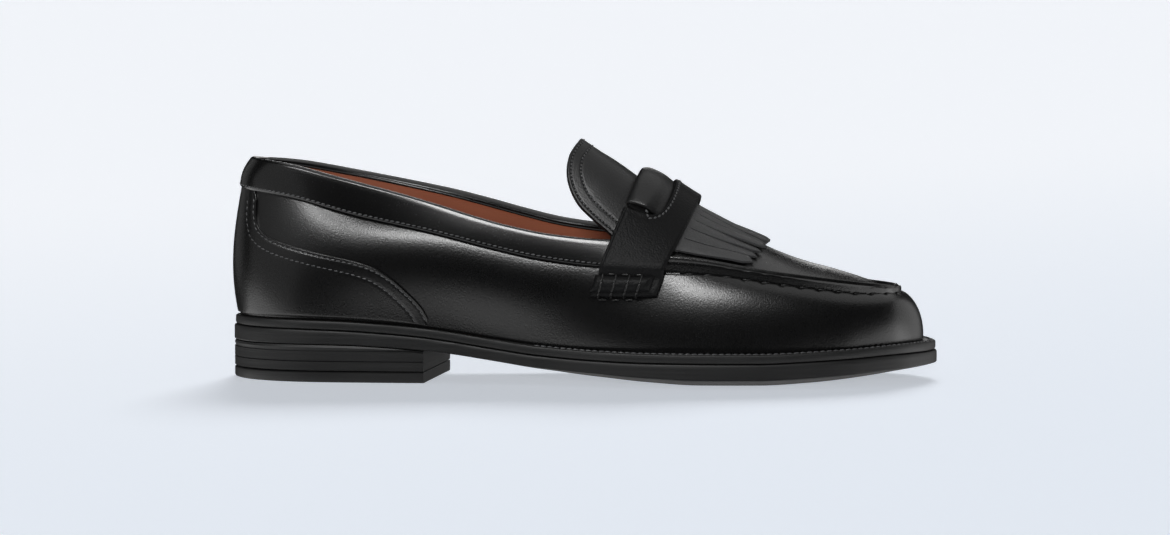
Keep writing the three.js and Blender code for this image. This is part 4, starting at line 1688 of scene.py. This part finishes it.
@dataclass
class SolePart:
    """Outsole, welt, insole and heel, as slabs with the sole's outline."""

    welt_step: float = 0.5
    groove: float = 0.7
    top_piece: float = 4.0
    first_lift: float = 3.6
    second_lift: float = 3.9
    breast: float = 0.291
    breast_slant: float = 0.065

    def loop(self, outer: Array, inner: Array, levels: Sequence[tuple[Any, Callable]],
             cap: int = 9) -> Array:
        """Points of a slab: at each column, up one side, over the top, down and back under.

        Args:
            outer: Stations of the columns on the outer side.
            inner: The same on the inner side.
            levels: Inset and height of each level, from the bottom up.
            cap: Steps across the top and the bottom.

        Returns:
            Points, columns by rows.
        """

        def edge(station: Array, side: float, inset: Any, height: Callable) -> Array:
            """The slab's edge on one level."""
            sides = np.full_like(station, side)
            plan = LAST.sole_edge(station, sides, inset(station) if callable(inset) else inset)
            return np.concatenate([plan, height(plan[:, 0])[:, None]], axis=1)

        up = [edge(outer, OUTER, inset, height) for inset, height in levels]
        down = [edge(inner, INNER, inset, height) for inset, height in levels][::-1]
        over = [lerp(up[-1], down[0], k / cap) for k in range(1, cap)]
        under = [lerp(down[-1], up[0], k / cap) for k in range(1, cap + 1)]
        return np.stack([*up, *over, *down, *under], axis=1)

    def slab(self, name: str, levels: Sequence[tuple[Any, Callable]], count: int = 260) -> bpy.types.Object:
        """A slab under the whole foot.

        Args:
            name: Name of the piece.
            levels: Inset and height of each level, from the bottom up.
            count: Columns on each side.

        Returns:
            The piece.
        """
        stations = np.linspace(0.0, TOE, count)
        piece = lay(name, self.loop(stations, stations, levels))
        smooth(piece, 32.0)
        return piece

    def breast_station(self, side: float) -> float:
        """Station where the heel ends on one side.

        Args:
            side: OUTER or INNER.

        Returns:
            The station.
        """
        fine = np.linspace(2.0, 5.0, 3000)
        edge = LAST.sole_edge(fine, np.full_like(fine, side))
        past = edge[:, 0] > (self.breast * LENGTH + self.breast_slant * edge[:, 1])
        return float(fine[int(np.argmax(past))])

    def heel_slab(self, name: str, levels: Sequence[tuple[Any, Callable]]) -> bpy.types.Object:
        """A slab under the heel, cut off at the breast.

        Args:
            name: Name of the piece.
            levels: Inset and height of each level, from the bottom up.

        Returns:
            The piece.
        """
        share = np.linspace(0.0, 1.0, 120)
        outer, inner = (share * self.breast_station(side) for side in (OUTER, INNER))
        piece = lay(name, self.loop(outer, inner, levels))
        smooth(piece, 32.0)
        return piece

    def outsole(self) -> bpy.types.Object:
        """The outsole, rounded under the forefoot.

        Returns:
            The piece.
        """
        low, high = LAST.under_middle, LAST.under
        top = lambda x: LAST.bed(x) - WELT - GAP
        levels = [(22.0, low), (17.0, lambda x: lerp(low(x), high(x), 0.03))]
        for inset, share in ((12.0, 0.13), (8.0, 0.3), (5.0, 0.5), (3.0, 0.68), (1.4, 0.87)):
            levels.append((inset, lambda x, s=share: lerp(low(x), high(x), s)))
        levels += [(0.25, lambda x: high(x) + 0.15), (0.0, lambda x: high(x) + 0.5)]
        levels += [(0.0, lambda x, s=s: lerp(high(x) + 0.5, top(x) - self.groove, s))
                   for s in (0.25, 0.5, 0.75, 1.0)]
        levels += [(0.2, lambda x: top(x) - 0.25), (self.groove, top)]
        return self.slab("outsole_rubber", levels)

    def welt(self) -> bpy.types.Object:
        """The welt, with rounded edges and a shallow channel for its stitches.

        Returns:
            The piece.
        """
        step, bed = self.welt_step, LAST.bed
        levels = [(step + 0.7, lambda x: bed(x) - WELT), (step + 0.25, lambda x: bed(x) - WELT + 0.15),
                  (step, lambda x: bed(x) - WELT + 0.7), (step, lambda x: bed(x) - 0.8),
                  (step + 0.2, lambda x: bed(x) - 0.3), (step + 0.6, lambda x: bed(x) - 0.05),
                  (step + 1.1, bed), (step + 1.35, lambda x: bed(x) - 0.3),
                  (step + 2.3, lambda x: bed(x) - 0.3), (step + 2.6, bed), (step + 3.5, bed)]
        return self.slab("welt_rubber", levels)

    def insole(self) -> bpy.types.Object:
        """The insole with its sock lining.

        Returns:
            The piece.
        """
        reach = lambda s: OUTLINE.at("margin", s) * WELT_MARGIN + WALL + GAP + 0.25
        levels = [(lambda s: reach(s) + 0.4, lambda x: LAST.bed(x) + GAP),
                  (reach, lambda x: LAST.bed(x) + GAP + 0.5),
                  (reach, lambda x: LAST.bed(x) + GAP + 1.9),
                  (lambda s: reach(s) + 0.3, lambda x: LAST.bed(x) + GAP + 2.4),
                  (lambda s: reach(s) + 1.2, lambda x: LAST.bed(x) + GAP + 2.5)]
        return self.slab("insole_sock", levels, 200)

    def heel_block(self) -> bpy.types.Object:
        """Two lifts and the wedge above, parted by grooves.

        Returns:
            The piece.
        """
        top = lambda x: LAST.under(x) - GAP
        first = self.top_piece + GAP
        second = first + self.first_lift
        wedge = lambda x: np.minimum(second + self.second_lift, top(x) - 0.5)
        cut, depth = 0.22, 0.5
        flat = lambda z: (lambda x: np.full_like(x, z))
        levels = [(depth, flat(first)), (0.1, flat(first + cut)), (0.1, flat(second - cut)),
                  (depth, flat(second)), (0.1, flat(second + cut)), (0.1, lambda x: wedge(x) - cut),
                  (depth, wedge), (0.1, lambda x: wedge(x) + 0.6 * (top(x) - wedge(x))), (0.4, top)]
        return self.heel_slab("heel_lifts", levels)

    def heel_top_piece(self) -> bpy.types.Object:
        """The piece that stands on the floor.

        Returns:
            The piece.
        """
        flat = lambda z: (lambda x: np.full_like(x, z))
        levels = [(0.9, flat(0.0)), (0.4, flat(0.2)), (0.1, flat(0.8)),
                  (0.1, flat(self.top_piece - 0.4)), (self.groove, flat(self.top_piece))]
        return self.heel_slab("heel_top", levels)

    def welt_stitches(self) -> bpy.types.Object:
        """Stitches in the welt's channel, from the waist round the toe.

        Returns:
            The piece.
        """
        one = np.linspace(4.9, TOE, 300)
        sides = []
        for side in (OUTER, INNER):
            plan = LAST.sole_edge(one, np.full_like(one, side), self.welt_step + 1.85)
            sides.append(np.concatenate([plan, (LAST.bed(plan[:, 0]) - 0.02)[:, None]], axis=1))
        points = np.concatenate([sides[0], sides[1][::-1][1:]])
        normals = np.tile([0.0, 0.0, 1.0], (len(points), 1))
        return Stitching(2.5, 2.3, 0.42, 14.0).sew("welt_stitches", [Line(points, normals)])

    def dress(self) -> None:
        """Puts the sole on the shoe."""
        rubber = RUBBER.material()
        settle(self.outsole(), rubber, ["outsole"])
        settle(self.welt(), rubber, ["welt"])
        settle(self.heel_block(), rubber, ["heel_block"])
        settle(self.heel_top_piece(), rubber, ["heel_top_piece"])
        settle(self.insole(), LINING.material(), ["insole"])
        settle(self.welt_stitches(), WELT_THREAD.material())


# The studio


@dataclass(frozen=True)
class SoftLight:
    """A far soft light: where it stands, how wide it looks and how bright its face is."""

    name: str
    azimuth: float
    elevation: float
    radius: float
    radiance: float
    diffuse: bool = True
    glossy: bool = True

    def place(self) -> None:
        """Sets the light up."""
        data = bpy.data.lights.new(self.name, "SUN")
        data.angle = math.radians(2 * self.radius)
        data.energy = self.radiance * math.pi * math.sin(math.radians(self.radius)) ** 2
        lamp = bpy.data.objects.new(self.name, data)
        bpy.context.scene.collection.objects.link(lamp)
        az, el = math.radians(self.azimuth), math.radians(self.elevation)
        toward = Vector((math.sin(az) * math.cos(el), -math.cos(az) * math.cos(el), math.sin(el)))
        lamp.rotation_euler = toward.to_track_quat("Z", "Y").to_euler()
        lamp.visible_diffuse = self.diffuse
        lamp.visible_glossy = self.glossy


@dataclass
class Studio:
    """Camera, floor and soft lights. Azimuth 0 is the camera's side, 90 is ahead of the toe."""

    azimuth: float = 5.0
    elevation: float = 4.0
    distance: float = 1.8
    target: Colour = (0.00067, 0.000625, 0.0415)
    roll: float = 0.0
    millimetres_per_pixel: float = 0.376
    picture_width: int = 1170
    lights: tuple[SoftLight, ...] = (
        SoftLight("quarter_light", -37.0, 41.0, 9.0, 15.5, diffuse=False),
        SoftLight("vamp_light", -4.5, 49.0, 8.0, 24.0, diffuse=False),
        SoftLight("front_light", 5.0, 8.0, 7.0, 38.0, glossy=False),
        SoftLight("back_light", 178.0, 34.0, 11.0, 17.0, glossy=False),
        SoftLight("rim_light", 182.5, 13.0, 6.0, 2.3, diffuse=False),
        SoftLight("top_light", 140.0, 66.0, 34.0, 0.7, diffuse=False),
        SoftLight("toe_light", 122.0, 6.0, 26.0, 0.68, diffuse=False),
        SoftLight("heel_light", -125.0, 10.0, 18.0, 0.2, diffuse=False),
        SoftLight("counter_light", -62.0, 3.0, 26.0, 0.33, diffuse=False),
    )
    fill: float = 0.11
    shade: float = 0.02
    table: float = 1.6
    table_edge: float = 0.6
    backdrop: Colour = (0.81, 0.85, 0.905)

    def camera(self) -> None:
        """A long lens, a little above the floor, from the outer side."""
        az, el = math.radians(self.azimuth), math.radians(self.elevation)
        back = Vector((math.sin(az) * math.cos(el), -math.cos(az) * math.cos(el), math.sin(el)))
        data = bpy.data.cameras.new("camera")
        data.sensor_width = 36.0
        data.lens = 36.0 * self.distance * 1000 / self.millimetres_per_pixel / self.picture_width
        data.clip_end = 100.0
        camera = bpy.data.objects.new("camera", data)
        bpy.context.scene.collection.objects.link(camera)
        turn = back.to_track_quat("Z", "Y").to_matrix() @ Matrix.Rotation(math.radians(self.roll), 3, "Z")
        place = Vector(self.target) + back * self.distance
        camera.matrix_world = Matrix.Translation(place) @ turn.to_4x4()
        bpy.context.scene.camera = camera
        bpy.context.scene.view_settings.view_transform = "Standard"

    def floor(self) -> None:
        """A pale floor that runs far past the shoe on all sides."""
        bpy.ops.object.select_all(action="DESELECT")
        bpy.ops.mesh.primitive_plane_add(size=1.0)
        floor = bpy.context.object
        floor.name = floor.data.name = "floor"
        for vertex in floor.data.vertices:
            vertex.co.x *= 16.0
            vertex.co.y = -9.0 if vertex.co.y < 0 else 14.0
        finish = FloorFinish("pale_floor", (0.675, 0.716, 0.777), (0.785, 0.803, 0.836), 0.6)
        floor.data.materials.append(finish.material())
        floor.visible_glossy = False

    def world(self) -> None:
        """Pale surroundings that the gloss sees as a dim room."""
        world = bpy.data.worlds.new("surroundings")
        world.use_nodes = True
        tree = world.node_tree
        tree.nodes.clear()
        output = tree.nodes.new("ShaderNodeOutputWorld")
        path = tree.nodes.new("ShaderNodeLightPath")
        place = tree.nodes.new("ShaderNodeTexCoord")
        parts = tree.nodes.new("ShaderNodeSeparateXYZ")
        tree.links.new(place.outputs["Generated"], parts.inputs[0])

        def sums(operation: str, first: Any, second: Any) -> bpy.types.NodeSocket:
            """One Math node in the world.

            Args:
                operation: The node's operation.
                first: A number or a socket.
                second: A number or a socket.

            Returns:
                The result's socket.
            """
            node = tree.nodes.new("ShaderNodeMath")
            node.operation = operation
            for socket, value in zip(node.inputs, (first, second)):
                if isinstance(value, float):
                    socket.default_value = value
                else:
                    tree.links.new(value, socket)
            return node.outputs[0]

        front = sums("MULTIPLY", parts.outputs["Y"], parts.outputs["Y"])
        height = sums("ADD", parts.outputs["Z"], sums("MULTIPLY", front, self.table_edge))
        ahead = sums("MULTIPLY", sums("MAXIMUM", parts.outputs["X"], 0.0), 0.22)
        height = sums("SUBTRACT", height, ahead)
        ramp = tree.nodes.new("ShaderNodeMapRange")
        ramp.interpolation_type = "SMOOTHSTEP"
        tree.links.new(height, ramp.inputs["Value"])
        for name, value in (("From Min", -0.22), ("From Max", -0.1), ("To Min", self.table),
                            ("To Max", self.shade)):
            ramp.inputs[name].default_value = value
        under = tree.nodes.new("ShaderNodeMapRange")
        under.interpolation_type = "SMOOTHSTEP"
        tree.links.new(parts.outputs["Z"], under.inputs["Value"])
        under.inputs["From Min"].default_value = -0.86
        under.inputs["From Max"].default_value = -0.62
        room = sums("MULTIPLY", ramp.outputs[0], under.outputs[0])
        faces = []
        for colour, strength in (((0.9, 0.94, 1.0), self.fill), ((1.0, 1.0, 1.0), room),
                                 (self.backdrop, 1.0)):
            face = tree.nodes.new("ShaderNodeBackground")
            face.inputs["Color"].default_value = (*colour, 1.0)
            if isinstance(strength, float):
                face.inputs["Strength"].default_value = strength
            else:
                tree.links.new(strength, face.inputs["Strength"])
            faces.append(face.outputs[0])
        shown = faces[0]
        for ray, face in (("Is Glossy Ray", faces[1]), ("Is Camera Ray", faces[2])):
            mix = tree.nodes.new("ShaderNodeMixShader")
            tree.links.new(path.outputs[ray], mix.inputs[0])
            tree.links.new(shown, mix.inputs[1])
            tree.links.new(face, mix.inputs[2])
            shown = mix.outputs[0]
        tree.links.new(shown, output.inputs["Surface"])
        bpy.context.scene.world = world

    def dress(self) -> None:
        """Sets up the studio."""
        self.camera()
        self.floor()
        self.world()
        for light in self.lights:
            light.place()


def main() -> None:
    """Builds the shoe and its studio."""
    logging.basicConfig(level=logging.INFO, format="%(message)s")
    Studio().dress()
    for part in (SolePart(), Upper(), LiningPart(), CounterPart(), CollarBandPart(), TonguePart(),
                 StrapPart(), TabRollPart(), KiltiePart()):
        part.dress()


if __name__ == "__main__":
    main()
